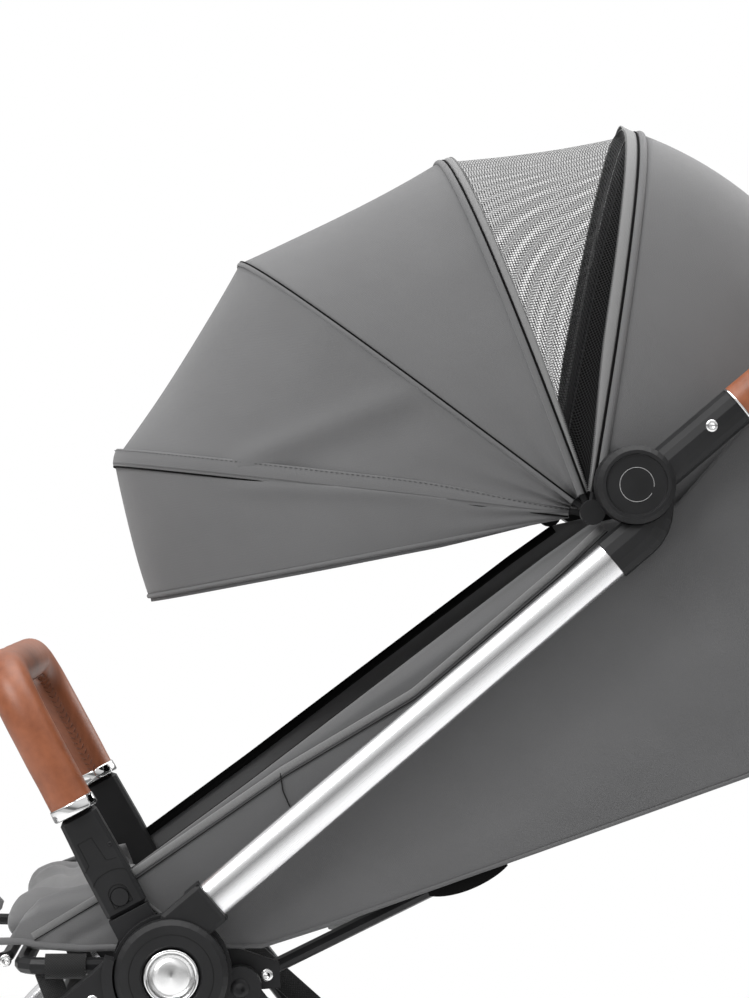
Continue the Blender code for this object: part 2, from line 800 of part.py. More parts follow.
def axis_at(name, place, y, members, under=None):
    """An empty on a joint's axis that carries the pieces turning or sliding on it."""
    empty = place_object(name, None, None, AXES)
    empty.empty_display_size = 0.03
    empty.location = world(place, y)
    if under:
        hold(empty, under)
    for member in members:
        hold(bpy.data.objects[member], empty)
    return empty


def both(*names):
    return [side_name(name, side) for name in names for side in (LEFT, RIGHT)]


def rig_canopy():
    """Each bow turns on the one behind it, about the same pivots."""
    window = axis_at("window_fold", CANOPY_PIVOT, 0, ("canopy_bow_window", "canopy_window"))
    middle = axis_at("middle_fold", CANOPY_PIVOT, 0,
                     ("canopy_bow_middle", "canopy_panel_middle"), window)
    axis_at("front_fold", CANOPY_PIVOT, 0,
            ("canopy_bow_front", "canopy_panel_front", "canopy_visor"), middle)


def rig():
    front = axis_at("front_leg_fold", (0, 0), 0,
                    both("leg_fitting", "front_leg", "caster_housing") + ["front_cross_tube"])
    rear = axis_at("rear_leg_fold", REAR_PIVOT, 0, both("rear_leg") + ["rear_cross_tube"])
    axis_at("brake_press", brake_place(), 0, ("brake_pedal",), rear)
    handle = axis_at("handle_angle", on_line(*TOP_HUB), 0,
                     both("handle_sleeve", "handle_grip") + ["handle_housing"])
    axis_at("fold_button_press", on_line(HANDLE_END, HANDLE_N), 0, ("fold_button",), handle)
    axis_at("backrest_recline", BACK_HINGE, 0, ("backrest_frame", "backrest_pad"))
    axis_at("leg_rest_angle", LEG_REST_HINGE, 0, ("leg_rest_frame", "leg_rest_pad"))
    axis_at("buckle_press", BUCKLE, 0, ("buckle_button",))
    bumper = axis_at("bumper_release", BUMPER_FOOT, 0, both("bumper_adapter") + ["bumper_bar"])
    rig_canopy()
    for side in (LEFT, RIGHT):
        swivel = axis_at(side_name("caster_swivel", side), (CASTER_X, wheel_place(True)[1]),
                         side * CASTER_O, [side_name("caster_fork", side)], front)
        axis_at(side_name("front_wheel_spin", side), wheel_place(True), side * CASTER_O,
                [side_name(name, side) for name in ("front_tyre", "front_rim")], swivel)
        axis_at(side_name("rear_wheel_spin", side), wheel_place(False), side * REAR_WHEEL_O,
                [side_name(name, side) for name in ("rear_tyre", "rear_rim")], rear)
        axis_at(side_name("bumper_button_press", side), BUMPER_FOOT, side * BUMPER_O,
                [side_name("bumper_button", side)], bumper)


# ---- assembly ------------------------------------------------------------------------

def build_side(side):
    frame_tube(side)
    lower_hub(side)
    hub_cap(side)
    elbow(side)
    leg_fitting(side)
    front_leg(side)
    caster_housing(side)
    caster_fork(side)
    tyre("front_tyre", wheel_place(True), FRONT_WHEEL_R, CASTER_O, side)
    rim("front_rim", wheel_place(True), FRONT_WHEEL_R, CASTER_O, side)
    rear_leg(side)
    tyre("rear_tyre", wheel_place(False), REAR_WHEEL_R, REAR_WHEEL_O, side)
    rim("rear_rim", wheel_place(False), REAR_WHEEL_R, REAR_WHEEL_O, side)
    side_panel(side)
    bumper_adapter(side)
    bumper_button(side)
    handle_sleeve(side)
    handle_grip(side)


def build():
    for side in (LEFT, RIGHT):
        build_side(side)
    front_cross_tube()
    rear_cross_tube()
    brake_pedal()
    seat_frame()
    seat_pad()
    backrest_frame()
    backrest_pad()
    leg_rest_frame()
    leg_rest_pad()
    buckle()
    buckle_button()
    bumper_bar()
    handle_housing()
    fold_button()
    for which in BOWS:
        canopy_bow(which)
    canopy_panel("canopy_window", "window", "rear", MESH, 0.004)
    canopy_panel("canopy_panel_middle", "middle", "window", FABRIC, 0.006)
    canopy_panel("canopy_panel_front", "front", "middle", FABRIC, 0.006)
    canopy_visor()
    canopy_rear_panel()
    basket()
    rig()


build()
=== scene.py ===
"""Looks of the baby stroller: cloth, padding, leather, metal and plastic around the CAD frame.

Metres, +Z up, forward is -X, the stroller's left side is -Y. A side-view place is an (x, z) pair
measured from the lower hub, `o` is a distance outboard from the middle plane, and side is -1 on
the left and 1 on the right.
"""
import json
from math import asin, atan2, ceil, cos, exp, hypot, pi, radians, sin

import bmesh
import bpy
from mathutils import Matrix, Vector, noise

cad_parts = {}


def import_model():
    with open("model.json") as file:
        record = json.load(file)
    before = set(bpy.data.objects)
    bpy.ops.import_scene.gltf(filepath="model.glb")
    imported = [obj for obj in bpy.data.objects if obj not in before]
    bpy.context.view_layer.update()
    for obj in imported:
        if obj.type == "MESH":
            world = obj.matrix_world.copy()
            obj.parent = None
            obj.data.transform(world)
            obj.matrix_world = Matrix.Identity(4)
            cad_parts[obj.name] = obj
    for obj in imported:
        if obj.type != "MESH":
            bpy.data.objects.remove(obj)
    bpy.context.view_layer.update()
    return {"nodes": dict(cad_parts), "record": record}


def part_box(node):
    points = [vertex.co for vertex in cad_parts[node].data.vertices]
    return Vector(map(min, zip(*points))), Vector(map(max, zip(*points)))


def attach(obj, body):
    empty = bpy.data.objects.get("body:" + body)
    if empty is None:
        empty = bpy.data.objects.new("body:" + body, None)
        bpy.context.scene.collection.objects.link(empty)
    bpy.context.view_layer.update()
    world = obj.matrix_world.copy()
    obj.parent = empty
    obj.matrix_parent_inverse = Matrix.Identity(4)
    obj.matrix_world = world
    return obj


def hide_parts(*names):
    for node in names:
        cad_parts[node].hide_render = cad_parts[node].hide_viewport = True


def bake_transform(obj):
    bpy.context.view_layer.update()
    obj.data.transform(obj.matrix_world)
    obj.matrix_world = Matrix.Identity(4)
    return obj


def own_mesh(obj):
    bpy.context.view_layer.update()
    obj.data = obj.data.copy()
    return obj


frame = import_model()

LEFT = -1
RIGHT = 1
SIDES = (LEFT, RIGHT)
NAMES = {LEFT: "left", RIGHT: "right"}
WHITE = (1.0, 1.0, 1.0)

# side view layout, the same as the CAD's
LINE_ANGLE = radians(40.3)
TUBE_N = 0.023
SIDE_O = 0.215
TOP_HUB = (0.522, 0.056)
TOP_HUB_R = 0.031
HANDLE_N = 0.051
SLEEVE_END = 0.623
HANDLE_END = 0.815
BUMPER_FOOT = (-0.025, 0.029)
BUMPER_ANGLE = radians(118)
BUMPER_O = 0.197
BUMPER_R = 0.0175
BACK_HINGE = (0.074, -0.006)
BACK_ANGLE = radians(26)
BUCKLE = (-0.025, 0.0455)
LEG_REST_HINGE = (-0.1335, 0.003)
SEAT_RAIL_O = 0.169
WING_O = 0.1715
WHEEL_HALF = 0.017

# canopy bows: angle in degrees, reach and half width
CANOPY_PIVOT = (0.330, 0.359)
BOW_R = 0.00325
SQUARENESS = 2.6
BOWS = {
    "front": (173.4, 0.381, 0.1675),
    "middle": (143.0, 0.344, 0.1750),
    "window": (110.5, 0.311, 0.1825),
    "rear": (80.5, 0.320, 0.1900),
}
VISOR_ANGLE = 191.0
VISOR_REACH = 0.361
CLOTH_LIFT = BOW_R + 0.0010
FLOOR_R = 2.4
TAPER_REACH = 0.15
PAD_PRESSURE = 4.0
PAD_FRAMES = 20

LINE = (cos(LINE_ANGLE), sin(LINE_ANGLE))
LINE_UP = (-sin(LINE_ANGLE), cos(LINE_ANGLE))
HUB = (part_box("hub_cap_left")[0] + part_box("hub_cap_left")[1]) / 2


# ---- places --------------------------------------------------------------------------

def world(place, y):
    return Vector((HUB.x + place[0], y, HUB.z + place[1]))


def on_line(s, n):
    """Side-view place at s along the frame line and n above it."""
    return (s * LINE[0] + n * LINE_UP[0], s * LINE[1] + n * LINE_UP[1])


def along(start, angle, distance, across=0.0):
    """Side-view place a distance along an angle, and a distance to the left of it."""
    x = start[0] + distance * cos(angle) - across * sin(angle)
    z = start[1] + distance * sin(angle) + across * cos(angle)
    return (x, z)


def both(name):
    return [f"{name}_{NAMES[side]}" for side in SIDES]


def smooth_step(t):
    t = min(1.0, max(0.0, t))
    return t * t * (3 - 2 * t)


def hump(t, width):
    """1 at t = 0, falling smoothly to nothing a few widths away."""
    return exp(-(t / width) ** 2)


def rounded(points, radius, steps=8):
    """A path through points with each inner corner rounded."""
    points = [Vector(p) for p in points]
    path = [points[0]]
    for last, corner, following in zip(points, points[1:], points[2:]):
        to_last = last - corner
        to_next = following - corner
        reach = min(radius, to_last.length * 0.49, to_next.length * 0.49)
        first = corner + to_last.normalized() * reach
        final = corner + to_next.normalized() * reach
        for k in range(steps + 1):
            t = k / steps
            path.append(first * (1 - t) ** 2 + corner * 2 * t * (1 - t) + final * t ** 2)
    return path + [points[-1]]


def lengths(points):
    """Distance along a path at each of its points."""
    total = [0.0]
    for first, second in zip(points, points[1:]):
        total.append(total[-1] + (second - first).length)
    return total


def resampled(points, count):
    """The same path with evenly spaced points."""
    points = [Vector(p) for p in points]
    marks = lengths(points)
    path = []
    seen = 0
    for k in range(count):
        want = marks[-1] * k / (count - 1)
        while seen < len(points) - 2 and marks[seen + 1] < want:
            seen += 1
        span = marks[seen + 1] - marks[seen]
        t = (want - marks[seen]) / span if span > 0 else 0.0
        path.append(points[seen].lerp(points[seen + 1], min(1.0, t)))
    return path


# ---- materials -----------------------------------------------------------------------

class Recipe:
    """A material being built, with short calls for the nodes that it needs."""

    def __init__(self, name, roughness, **constants):
        self.material = bpy.data.materials.new(name)
        self.material.use_nodes = True
        self.tree = self.material.node_tree
        self.shader = self.tree.nodes["Principled BSDF"]
        self.shader.inputs["Roughness"].default_value = roughness
        for socket, value in constants.items():
            self.shader.inputs[socket.replace("_", " ")].default_value = value

    def node(self, kind, **settings):
        made = self.tree.nodes.new("ShaderNode" + kind)
        for setting, value in settings.items():
            setattr(made, setting, value)
        return made

    def put(self, socket, value):
        """Give a socket either another socket's value or a plain one."""
        if isinstance(value, bpy.types.NodeSocket):
            self.tree.links.new(value, socket)
        else:
            socket.default_value = value

    def math(self, operation, first, second=0.0):
        made = self.node("Math", operation=operation)
        self.put(made.inputs[0], first)
        self.put(made.inputs[1], second)
        return made.outputs[0]

    def place(self, kind="Object"):
        """Texture place in metres: Object keeps still on a rigid piece, UV on cloth."""
        return self.node("TexCoord").outputs[kind]

    def scaled(self, place, scale):
        mapping = self.node("Mapping")
        self.put(mapping.inputs["Vector"], place)
        mapping.inputs["Scale"].default_value = scale
        return mapping.outputs["Vector"]

    def noise(self, place, scale, detail=3.0):
        made = self.node("TexNoise")
        self.put(made.inputs["Vector"], place)
        made.inputs["Scale"].default_value = scale
        made.inputs["Detail"].default_value = detail
        return made.outputs["Fac"]

    def cells(self, place, scale, feature="F1"):
        made = self.node("TexVoronoi", feature=feature)
        self.put(made.inputs["Vector"], place)
        made.inputs["Scale"].default_value = scale
        return made.outputs["Distance"]

    def waves(self, place, pitch, direction="X"):
        """Even ridges across one direction, a pitch apart."""
        axes = self.node("SeparateXYZ")
        self.put(axes.inputs[0], place)
        return self.half_sine(self.math("MULTIPLY", axes.outputs[direction], 2 * pi / pitch))

    def half_sine(self, turn):
        """A sine moved up to run between 0 and 1."""
        made = self.node("Math", operation="MULTIPLY_ADD")
        self.put(made.inputs[0], self.math("SINE", turn))
        made.inputs[1].default_value = 0.5
        made.inputs[2].default_value = 0.5
        return made.outputs[0]

    def mixed(self, factor, first, second):
        made = self.node("Mix", data_type="RGBA")
        self.put(made.inputs[0], factor)
        self.put(made.inputs[6], (*first, 1.0) if isinstance(first, tuple) else first)
        self.put(made.inputs[7], (*second, 1.0) if isinstance(second, tuple) else second)
        return made.outputs[2]

    def between(self, factor, low, high):
        """A factor from 0 to 1 turned into a value from low to high."""
        made = self.node("MapRange")
        self.put(made.inputs["Value"], factor)
        made.inputs["To Min"].default_value = low
        made.inputs["To Max"].default_value = high
        return made.outputs["Result"]

    def bump(self, height, distance, strength=1.0, under=None):
        made = self.node("Bump")
        self.put(made.inputs["Height"], height)
        made.inputs["Distance"].default_value = distance
        made.inputs["Strength"].default_value = strength
        if under:
            self.put(made.inputs["Normal"], under)
        return made.outputs["Normal"]

    def finish(self, colour=None, roughness=None, normal=None, alpha=None):
        for socket, value in (("Base Color", colour), ("Roughness", roughness),
                              ("Normal", normal), ("Alpha", alpha)):
            if value is not None:
                self.put(self.shader.inputs[socket], value)
        return self.material


def weave(recipe, place, pitch):
    """Height of a plain weave: warp and weft threads going over and under in turn."""
    warp = recipe.waves(place, pitch, "X")
    weft = recipe.waves(place, pitch, "Y")
    over = recipe.waves(place, pitch * 2, "X")
    under = recipe.waves(place, pitch * 2, "Y")
    crossing = recipe.math("MULTIPLY", over, under)
    threads = recipe.math("MAXIMUM", warp, weft)
    return recipe.math("ADD", threads, recipe.math("MULTIPLY", crossing, 0.6))


def fabric(name, colour, pitch=0.0007, relief=0.00012, worn=0.18, sheen=0.25):
    """Woven cloth with heathered threads, slow unevenness and a faint sheen."""
    recipe = Recipe(name, 0.88, Sheen_Weight=sheen, Sheen_Roughness=0.45,
                    Specular_IOR_Level=sheen)
    place = recipe.place("UV")
    threads = weave(recipe, place, pitch)
    heather = recipe.noise(recipe.scaled(place, (1.0, 1.0, 1.0)), 1400, 2)
    slow = recipe.noise(place, 14, 3)
    dark = tuple(c * (1 - worn) for c in colour)
    light = tuple(min(1.0, c * (1 + worn)) for c in colour)
    tone = recipe.math("ADD", recipe.math("MULTIPLY", heather, 0.6),
                       recipe.math("MULTIPLY", slow, 0.4))
    wrinkles = recipe.bump(recipe.noise(place, 45, 4), 0.0006, 0.5)
    return recipe.finish(
        colour=recipe.mixed(recipe.between(tone, -0.3, 1.3), dark, light),
        roughness=recipe.between(slow, 0.80, 0.95),
        normal=recipe.bump(threads, relief, 0.8, wrinkles))


def net(name, pitch=0.0023, thread=0.21):
    """Black open net: fine threads both ways with clear holes between them."""
    recipe = Recipe(name, 0.7, Specular_IOR_Level=0.3)
    place = recipe.place("UV")
    across = recipe.waves(place, pitch, "X")
    down = recipe.waves(place, pitch, "Y")
    nearest = recipe.math("MAXIMUM", across, down)
    edge = cos(pi * thread) * 0.5 + 0.5
    solid = recipe.math("GREATER_THAN", nearest, edge)
    tone = recipe.noise(place, 900, 2)
    return recipe.finish(
        colour=recipe.mixed(tone, (0.006, 0.006, 0.006), (0.020, 0.020, 0.021)),
        normal=recipe.bump(nearest, 0.0002), alpha=solid)


def leather(name, dark, light):
    """Smooth brown leather with fine grain, pores and rubbed places."""
    recipe = Recipe(name, 0.42, Coat_Weight=0.12, Coat_Roughness=0.35, Specular_IOR_Level=0.5)
    place = recipe.place("UV")
    grain = recipe.cells(place, 900)
    pores = recipe.noise(place, 2400, 2)
    slow = recipe.noise(place, 30, 4)
    rubbed = recipe.noise(place, 110, 3)
    height = recipe.math("ADD", grain, recipe.math("MULTIPLY", pores, 0.5))
    tone = recipe.math("ADD", recipe.math("MULTIPLY", slow, 0.6),
                       recipe.math("MULTIPLY", rubbed, 0.4))
    return recipe.finish(
        colour=recipe.mixed(recipe.between(tone, -0.6, 1.6), dark, light),
        roughness=recipe.between(rubbed, 0.34, 0.50),
        normal=recipe.bump(height, 0.00010, 0.6))


def moulded(name, dark, light, roughness=0.45, grain=1800, relief=0.00004):
    """Moulded plastic or powder coat: fine grain, uneven tone and gloss, edges a little rounded."""
    recipe = Recipe(name, roughness, Specular_IOR_Level=0.3)
    place = recipe.place()
    fine = recipe.noise(place, grain, 2)
    slow = recipe.noise(place, 26, 3)
    edges = recipe.node("Bevel", samples=4)
    edges.inputs["Radius"].default_value = 0.0007
    return recipe.finish(
        colour=recipe.mixed(recipe.between(slow, -0.3, 1.3), dark, light),
        roughness=recipe.between(slow, roughness - 0.06, roughness + 0.08),
        normal=recipe.bump(fine, relief, 0.6, edges.outputs[0]))


def satin_metal(name, colour=(0.86, 0.86, 0.87), roughness=0.24):
    """Satin aluminium, drawn along its length."""
    recipe = Recipe(name, roughness, Metallic=1.0)
    place = recipe.place("UV")
    streaks = recipe.noise(recipe.scaled(place, (8.0, 2200.0, 1.0)), 1.0, 3)
    slow = recipe.noise(place, 40, 3)
    dull = tuple(c * 0.94 for c in colour)
    return recipe.finish(
        colour=recipe.mixed(slow, dull, colour),
        roughness=recipe.between(streaks, roughness - 0.05, roughness + 0.09),
        normal=recipe.bump(streaks, 0.00001, 0.5))


def turned_metal(name, roughness, anisotropy, marks=0.00001):
    """Metal turned on a lathe: fine rings round the axis, which give it spokes of light."""
    recipe = Recipe(name, roughness, Metallic=1.0, Anisotropic=anisotropy)
    place = recipe.place("UV")
    tangent = recipe.node("Tangent", direction_type="UV_MAP")
    recipe.put(recipe.shader.inputs["Tangent"], tangent.outputs[0])
    rings = recipe.noise(recipe.scaled(place, (2.0, 6000.0, 1.0)), 1.0, 3)
    slow = recipe.noise(place, 60, 3)
    return recipe.finish(
        colour=recipe.mixed(slow, (0.80, 0.80, 0.80), (0.90, 0.90, 0.90)),
        roughness=recipe.between(rings, roughness * 0.8, roughness * 1.25),
        normal=recipe.bump(rings, marks, 0.4))


def webbing(name, dark, light, pitch=0.0022):
    """Strong woven tape: slanted ribs in two directions."""
    recipe = Recipe(name, 0.7, Sheen_Weight=0.2, Specular_IOR_Level=0.3)
    place = recipe.place("UV")
    axes = recipe.node("SeparateXYZ")
    recipe.put(axes.inputs[0], place)
    rising = recipe.math("ADD", axes.outputs["X"], axes.outputs["Y"])
    falling = recipe.math("SUBTRACT", axes.outputs["X"], axes.outputs["Y"])
    ribs = [recipe.half_sine(recipe.math("MULTIPLY", way, 2 * pi / pitch))
            for way in (rising, falling)]
    height = recipe.math("MULTIPLY", ribs[0], ribs[1])
    fine = recipe.noise(place, 1500, 2)
    tone = recipe.math("ADD", recipe.math("MULTIPLY", height, 0.7),
                       recipe.math("MULTIPLY", fine, 0.3))
    return recipe.finish(colour=recipe.mixed(tone, dark, light),
                         normal=recipe.bump(height, 0.0003, 0.9))


def thread_material(name, dark, light):
    """Twisted sewing thread."""
    recipe = Recipe(name, 0.6, Sheen_Weight=0.2)
    place = recipe.place("UV")
    axes = recipe.node("SeparateXYZ")
    recipe.put(axes.inputs[0], place)
    slant = recipe.math("ADD", axes.outputs["X"], axes.outputs["Y"])
    twist = recipe.half_sine(recipe.math("MULTIPLY", slant, 2 * pi / 0.0008))
    return recipe.finish(colour=recipe.mixed(twist, dark, light),
                         normal=recipe.bump(twist, 0.0001, 0.8))


def rubber(name):
    """Foam rubber tyre: dusty, with fine cross grooves."""
    recipe = Recipe(name, 0.85, Specular_IOR_Level=0.3)
    place = recipe.place("UV")
    grooves = recipe.waves(place, 0.006, "X")
    fine = recipe.noise(place, 1600, 2)
    dust = recipe.noise(place, 60, 4)
    height = recipe.math("ADD", grooves, recipe.math("MULTIPLY", fine, 0.3))
    return recipe.finish(
        colour=recipe.mixed(dust, (0.010, 0.010, 0.010), (0.034, 0.033, 0.032)),
        roughness=recipe.between(dust, 0.75, 0.95), normal=recipe.bump(height, 0.0003, 0.7))


def pale_surface(name, glow):
    recipe = Recipe(name, 0.9, Emission_Color=(*WHITE, 1.0), Emission_Strength=glow)
    tone = recipe.noise(recipe.place(), 3, 2)
    return recipe.finish(colour=recipe.mixed(tone, (0.86, 0.86, 0.86), (0.89, 0.89, 0.89)))


GREY = fabric("grey_fabric_cloth", (0.142, 0.142, 0.144))
# the canopy's grey cloth again, made darker: painted shade on the side cloths, the peak's facing and
# the CAD cloth
SHADED_GREY = fabric("grey_cloth_painted_shade", (0.118, 0.118, 0.120))
PAD_GREY = fabric("pad_cloth", (0.165, 0.165, 0.167), pitch=0.0009)
LINING = fabric("black_lining", (0.006, 0.006, 0.006), pitch=0.0008, sheen=0.03)
INNER_GREY = fabric("inner_cloth", (0.115, 0.115, 0.117), pitch=0.0008)
BINDING = webbing("binding_tape", (0.16, 0.16, 0.16), (0.27, 0.27, 0.27), 0.0014)
ZIP_TAPE = webbing("zip_tape", (0.17, 0.17, 0.17), (0.33, 0.33, 0.33), 0.0012)
BLACK_WEB = webbing("black_webbing", (0.008, 0.008, 0.008), (0.035, 0.035, 0.036))
NET = net("black_net")
BAG_NET = fabric("basket_cloth", (0.020, 0.020, 0.021), pitch=0.0012, relief=0.0003)
LEATHER = leather("brown_leather_grain", (0.180, 0.050, 0.018), (0.350, 0.112, 0.046))
SEAM_THREAD = thread_material("brown_thread", (0.10, 0.030, 0.012), (0.26, 0.090, 0.040))
DARK_THREAD = thread_material("dark_thread", (0.015, 0.015, 0.015), (0.060, 0.060, 0.060))
PLASTIC = moulded("black_plastic_grain", (0.009, 0.009, 0.0095), (0.017, 0.017, 0.018))
GLOSSY = moulded("black_plastic_face", (0.022, 0.022, 0.023), (0.034, 0.034, 0.035), 0.32)
LINES = moulded("black_gap", (0.002, 0.002, 0.002), (0.006, 0.006, 0.006), 0.60)
MARK = moulded("pale_print", (0.42, 0.42, 0.42), (0.60, 0.60, 0.60), 0.35)
STEEL = moulded("black_powder_coat", (0.010, 0.010, 0.011), (0.022, 0.022, 0.023), 0.36, 900)
SILVER = satin_metal("satin_aluminium")
CHROME = turned_metal("polished_chrome", 0.07, 0.0)
CONE = turned_metal("brushed_cone", 0.26, 0.85, 0.00002)
NICKEL = turned_metal("nickel_rivet", 0.16, 0.3)
TYRE = rubber("foam_tyre")
RED = moulded("red_plastic", (0.40, 0.020, 0.020), (0.50, 0.035, 0.030), 0.35)


# ---- building pieces -----------------------------------------------------------------

def link(made):
    bpy.context.scene.collection.objects.link(made)
    return made


def grid_piece(name, rows, material, wrap=False, caps=False, inside=None):
    """A smooth mesh through rows of points, with its UV map in metres.

    wrap closes each row on itself, and caps closes the two ends of a wrapped piece. An open
    sheet is turned so that its faces look away from the point inside.
    """
    bm = bmesh.new()
    uv = bm.loops.layers.uv.new("metres")
    grid = [[bm.verts.new(point) for point in row] for row in rows]
    width = len(rows[0])
    across = [lengths(list(row) + [row[0]] if wrap else row) for row in rows]
    shift = 0.0 if wrap else 0.5
    down = [lengths([row[k] for row in rows]) for k in range(width)]
    steps = width if wrap else width - 1
    for i in range(len(rows) - 1):
        for k in range(steps):
            last = (k + 1) % width
            corners = ((i, k, k), (i, last, k + 1), (i + 1, last, k + 1), (i + 1, k, k))
            face = bm.faces.new([grid[row][column] for row, column, _ in corners])
            face.smooth = True
            for loop, (row, column, mark) in zip(face.loops, corners):
                u = across[row][mark] - shift * across[row][-1]
                loop[uv].uv = (down[column][row], u) if wrap else (u, down[column][row])
    if wrap and caps:
        for ring, turned_over in ((grid[0], True), (grid[-1], False)):
            face = bm.faces.new(list(reversed(ring)) if turned_over else ring)
            for loop in face.loops:
                loop[uv].uv = (loop.vert.co.x, loop.vert.co.z)
                loop.edge.smooth = False
    if inside is None:
        bmesh.ops.recalc_face_normals(bm, faces=bm.faces)
    else:
        bm.normal_update()
        outward = sum(f.normal.dot(f.calc_center_median() - inside) for f in bm.faces)
        if outward < 0:
            bmesh.ops.reverse_faces(bm, faces=bm.faces)
    return from_bmesh(name, bm, material)


def from_bmesh(name, bm, material):
    mesh = bpy.data.meshes.new(name)
    bm.to_mesh(mesh)
    bm.free()
    mesh.materials.append(material)
    return link(bpy.data.objects.new(name, mesh))


def sweep_rows(path, outline, start_up):
    """Rings of an outline carried along a path without twisting."""
    rows = []
    up = Vector(start_up)
    count = len(path)
    for k, point in enumerate(path):
        ahead = path[min(k + 1, count - 1)] - path[max(k - 1, 0)]
        ahead.normalize()
        up = (up - ahead * up.dot(ahead)).normalized()
        beside = ahead.cross(up)
        shape = outline(k / (count - 1)) if callable(outline) else outline
        rows.append([point + beside * a + up * b for a, b in shape])
    return rows


def ring(wide, high, sides):
    return [(wide * cos(2 * pi * k / sides), high * sin(2 * pi * k / sides))
            for k in range(sides)]


def tube(name, path, wide, high, material, sides=24, up=(0, 0, 1)):
    """A closed bar along a path: wide is its half size across, high its half size upwards."""
    rows = sweep_rows(path, ring(wide, high, sides), up)
    return grid_piece(name, rows, material, wrap=True, caps=True)


def lathe(name, profile, centre, axis, material, steps=64, hollow=False):
    """A turned piece: (radius, distance along the axis) points, with a UV map round the axis.

    A hollow piece's profile goes round its section, so its last point joins its first.
    """
    axis = Vector(axis).normalized()
    beside = axis.orthogonal().normalized()
    up = axis.cross(beside)
    rows = []
    for radius, rise in profile + profile[:1] if hollow else profile:
        radius = max(radius, 0.00002)
        rows.append([
            centre + axis * rise + (beside * cos(t) + up * sin(t)) * radius
            for t in (2 * pi * k / steps for k in range(steps))])
    made = grid_piece(name, rows, material, wrap=True, caps=not hollow)
    if hollow:
        joined(made)
    swap_uv(made)
    return made


def joined(made, distance=0.00001):
    """Merge the points of a mesh that lie in one place."""
    bm = bmesh.new()
    bm.from_mesh(made.data)
    bmesh.ops.remove_doubles(bm, verts=bm.verts, dist=distance)
    bmesh.ops.recalc_face_normals(bm, faces=bm.faces)
    bm.to_mesh(made.data)
    bm.free()


def swap_uv(made):
    """Turn the UV map so that its first direction runs round the piece."""
    for item in made.data.uv_layers[0].data:
        item.uv = (item.uv[1], item.uv[0])


def add_thickness(made, thickness, offset=-1.0, lining=None):
    """Give a sheet its thickness, with a lining on its far side if one is named."""
    solid = made.modifiers.new("thickness", "SOLIDIFY")
    solid.thickness = thickness
    solid.offset = offset
    if lining:
        made.data.materials.append(lining)
        solid.material_offset = 1
    return made


def smoother(made, levels=1):
    step = made.modifiers.new("smooth", "SUBSURF")
    step.levels = levels
    step.render_levels = levels
    return made


def normals(rows):
    """Unit normals of a grid of points."""
    found = []
    for i, row in enumerate(rows):
        line = []
        for k in range(len(row)):
            across = row[min(k + 1, len(row) - 1)] - row[max(k - 1, 0)]
            down = rows[min(i + 1, len(rows) - 1)][k] - rows[max(i - 1, 0)][k]
            line.append(across.cross(down).normalized())
        found.append(line)
    return found


def displaced(rows, amount, outward):
    """Move each point of a grid along its normal; outward(point) says which way is out."""
    facing = normals(rows)
    return [
        [point + (facing[i][k] if facing[i][k].dot(outward(point)) > 0 else -facing[i][k])
         * amount(point, i / (len(rows) - 1), k / (len(row) - 1))
         for k, point in enumerate(row)]
        for i, row in enumerate(rows)]


def surface_line(path, ups, radius, turn=0.0):
    """A line along a round bar, turned about it from its upward side, with the way out."""
    places = []
    outs = []
    count = len(path)
    for k, (point, up) in enumerate(zip(path, ups)):
        ahead = (path[min(k + 1, count - 1)] - path[max(k - 1, 0)]).normalized()
        out = Matrix.Rotation(turn, 3, ahead) @ up
        places.append(point + out * radius)
        outs.append(out)
    return places, outs


def carried_ups(path, start_up):
    """The upward side of a bar at each point of its path, carried along without twisting."""
    up = Vector(start_up)
    ups = []
    for k in range(len(path)):
        ahead = (path[min(k + 1, len(path) - 1)] - path[max(k - 1, 0)]).normalized()
        up = (up - ahead * up.dot(ahead)).normalized()
        ups.append(up.copy())
    return ups


def add_stitch(bm, uv, middle, direction, out, long, radius):
    """One thread, thickest in the middle and dipping into the cloth at its ends."""
    sides = 6
    half = direction * long / 2
    spine = ((-1.0, 0.0, 0.25), (-0.6, 1.0, 0.9), (0.0, 1.5, 1.0), (0.6, 1.0, 0.9), (1.0, 0.0, 0.25))
    beside = direction.cross(out).normalized()
    rings = []
    for reach, lift, size in spine:
        centre = middle + half * reach + out * radius * lift
        rings.append([
            bm.verts.new(centre + (beside * cos(t) + out * sin(t)) * radius * size)
            for t in (2 * pi * n / sides for n in range(sides))])
    for k, (low, high) in enumerate(zip(rings, rings[1:])):
        for n in range(sides):
            last = (n + 1) % sides
            face = bm.faces.new((low[n], low[last], high[last], high[n]))
            face.smooth = True
            for loop, (row, column) in zip(face.loops, ((k, n), (k, n + 1), (k + 1, n + 1),
                                                        (k + 1, n))):
                loop[uv].uv = (row * long / 4, column * radius)
    bm.faces.new(list(reversed(rings[0])))
    bm.faces.new(rings[-1])


def stitch_run(name, path, outs, material, long=0.0030, gap=0.0018, radius=0.00030, slant=0.0):
    """A row of separate stitches along a path; outs is the way out of the cloth along it."""
    count = max(1, int(lengths(path)[-1] / (long + gap)))
    fine = resampled(path, 2 * count + 1)
    bm = bmesh.new()
    uv = bm.loops.layers.uv.new("metres")
    for k in range(count):
        middle = fine[2 * k + 1]
        out = outs if isinstance(outs, Vector) else outs[int((k + 0.5) / count * len(outs))]
        direction = (fine[2 * k + 2] - fine[2 * k]).normalized()
        direction = (Matrix.Rotation(slant, 3, out) @ direction).normalized()
        add_stitch(bm, uv, middle, direction, out, long, radius)
    bmesh.ops.recalc_face_normals(bm, faces=bm.faces)
    return from_bmesh(name, bm, material)


def dressed(made, body, slot, *nodes):
    """Let a piece ride on a body and hide the CAD nodes it stands for; slot is not used."""
    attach(made, body)
    if nodes:
        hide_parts(*nodes)
    return made


# ---- frame, hubs and fittings --------------------------------------------------------

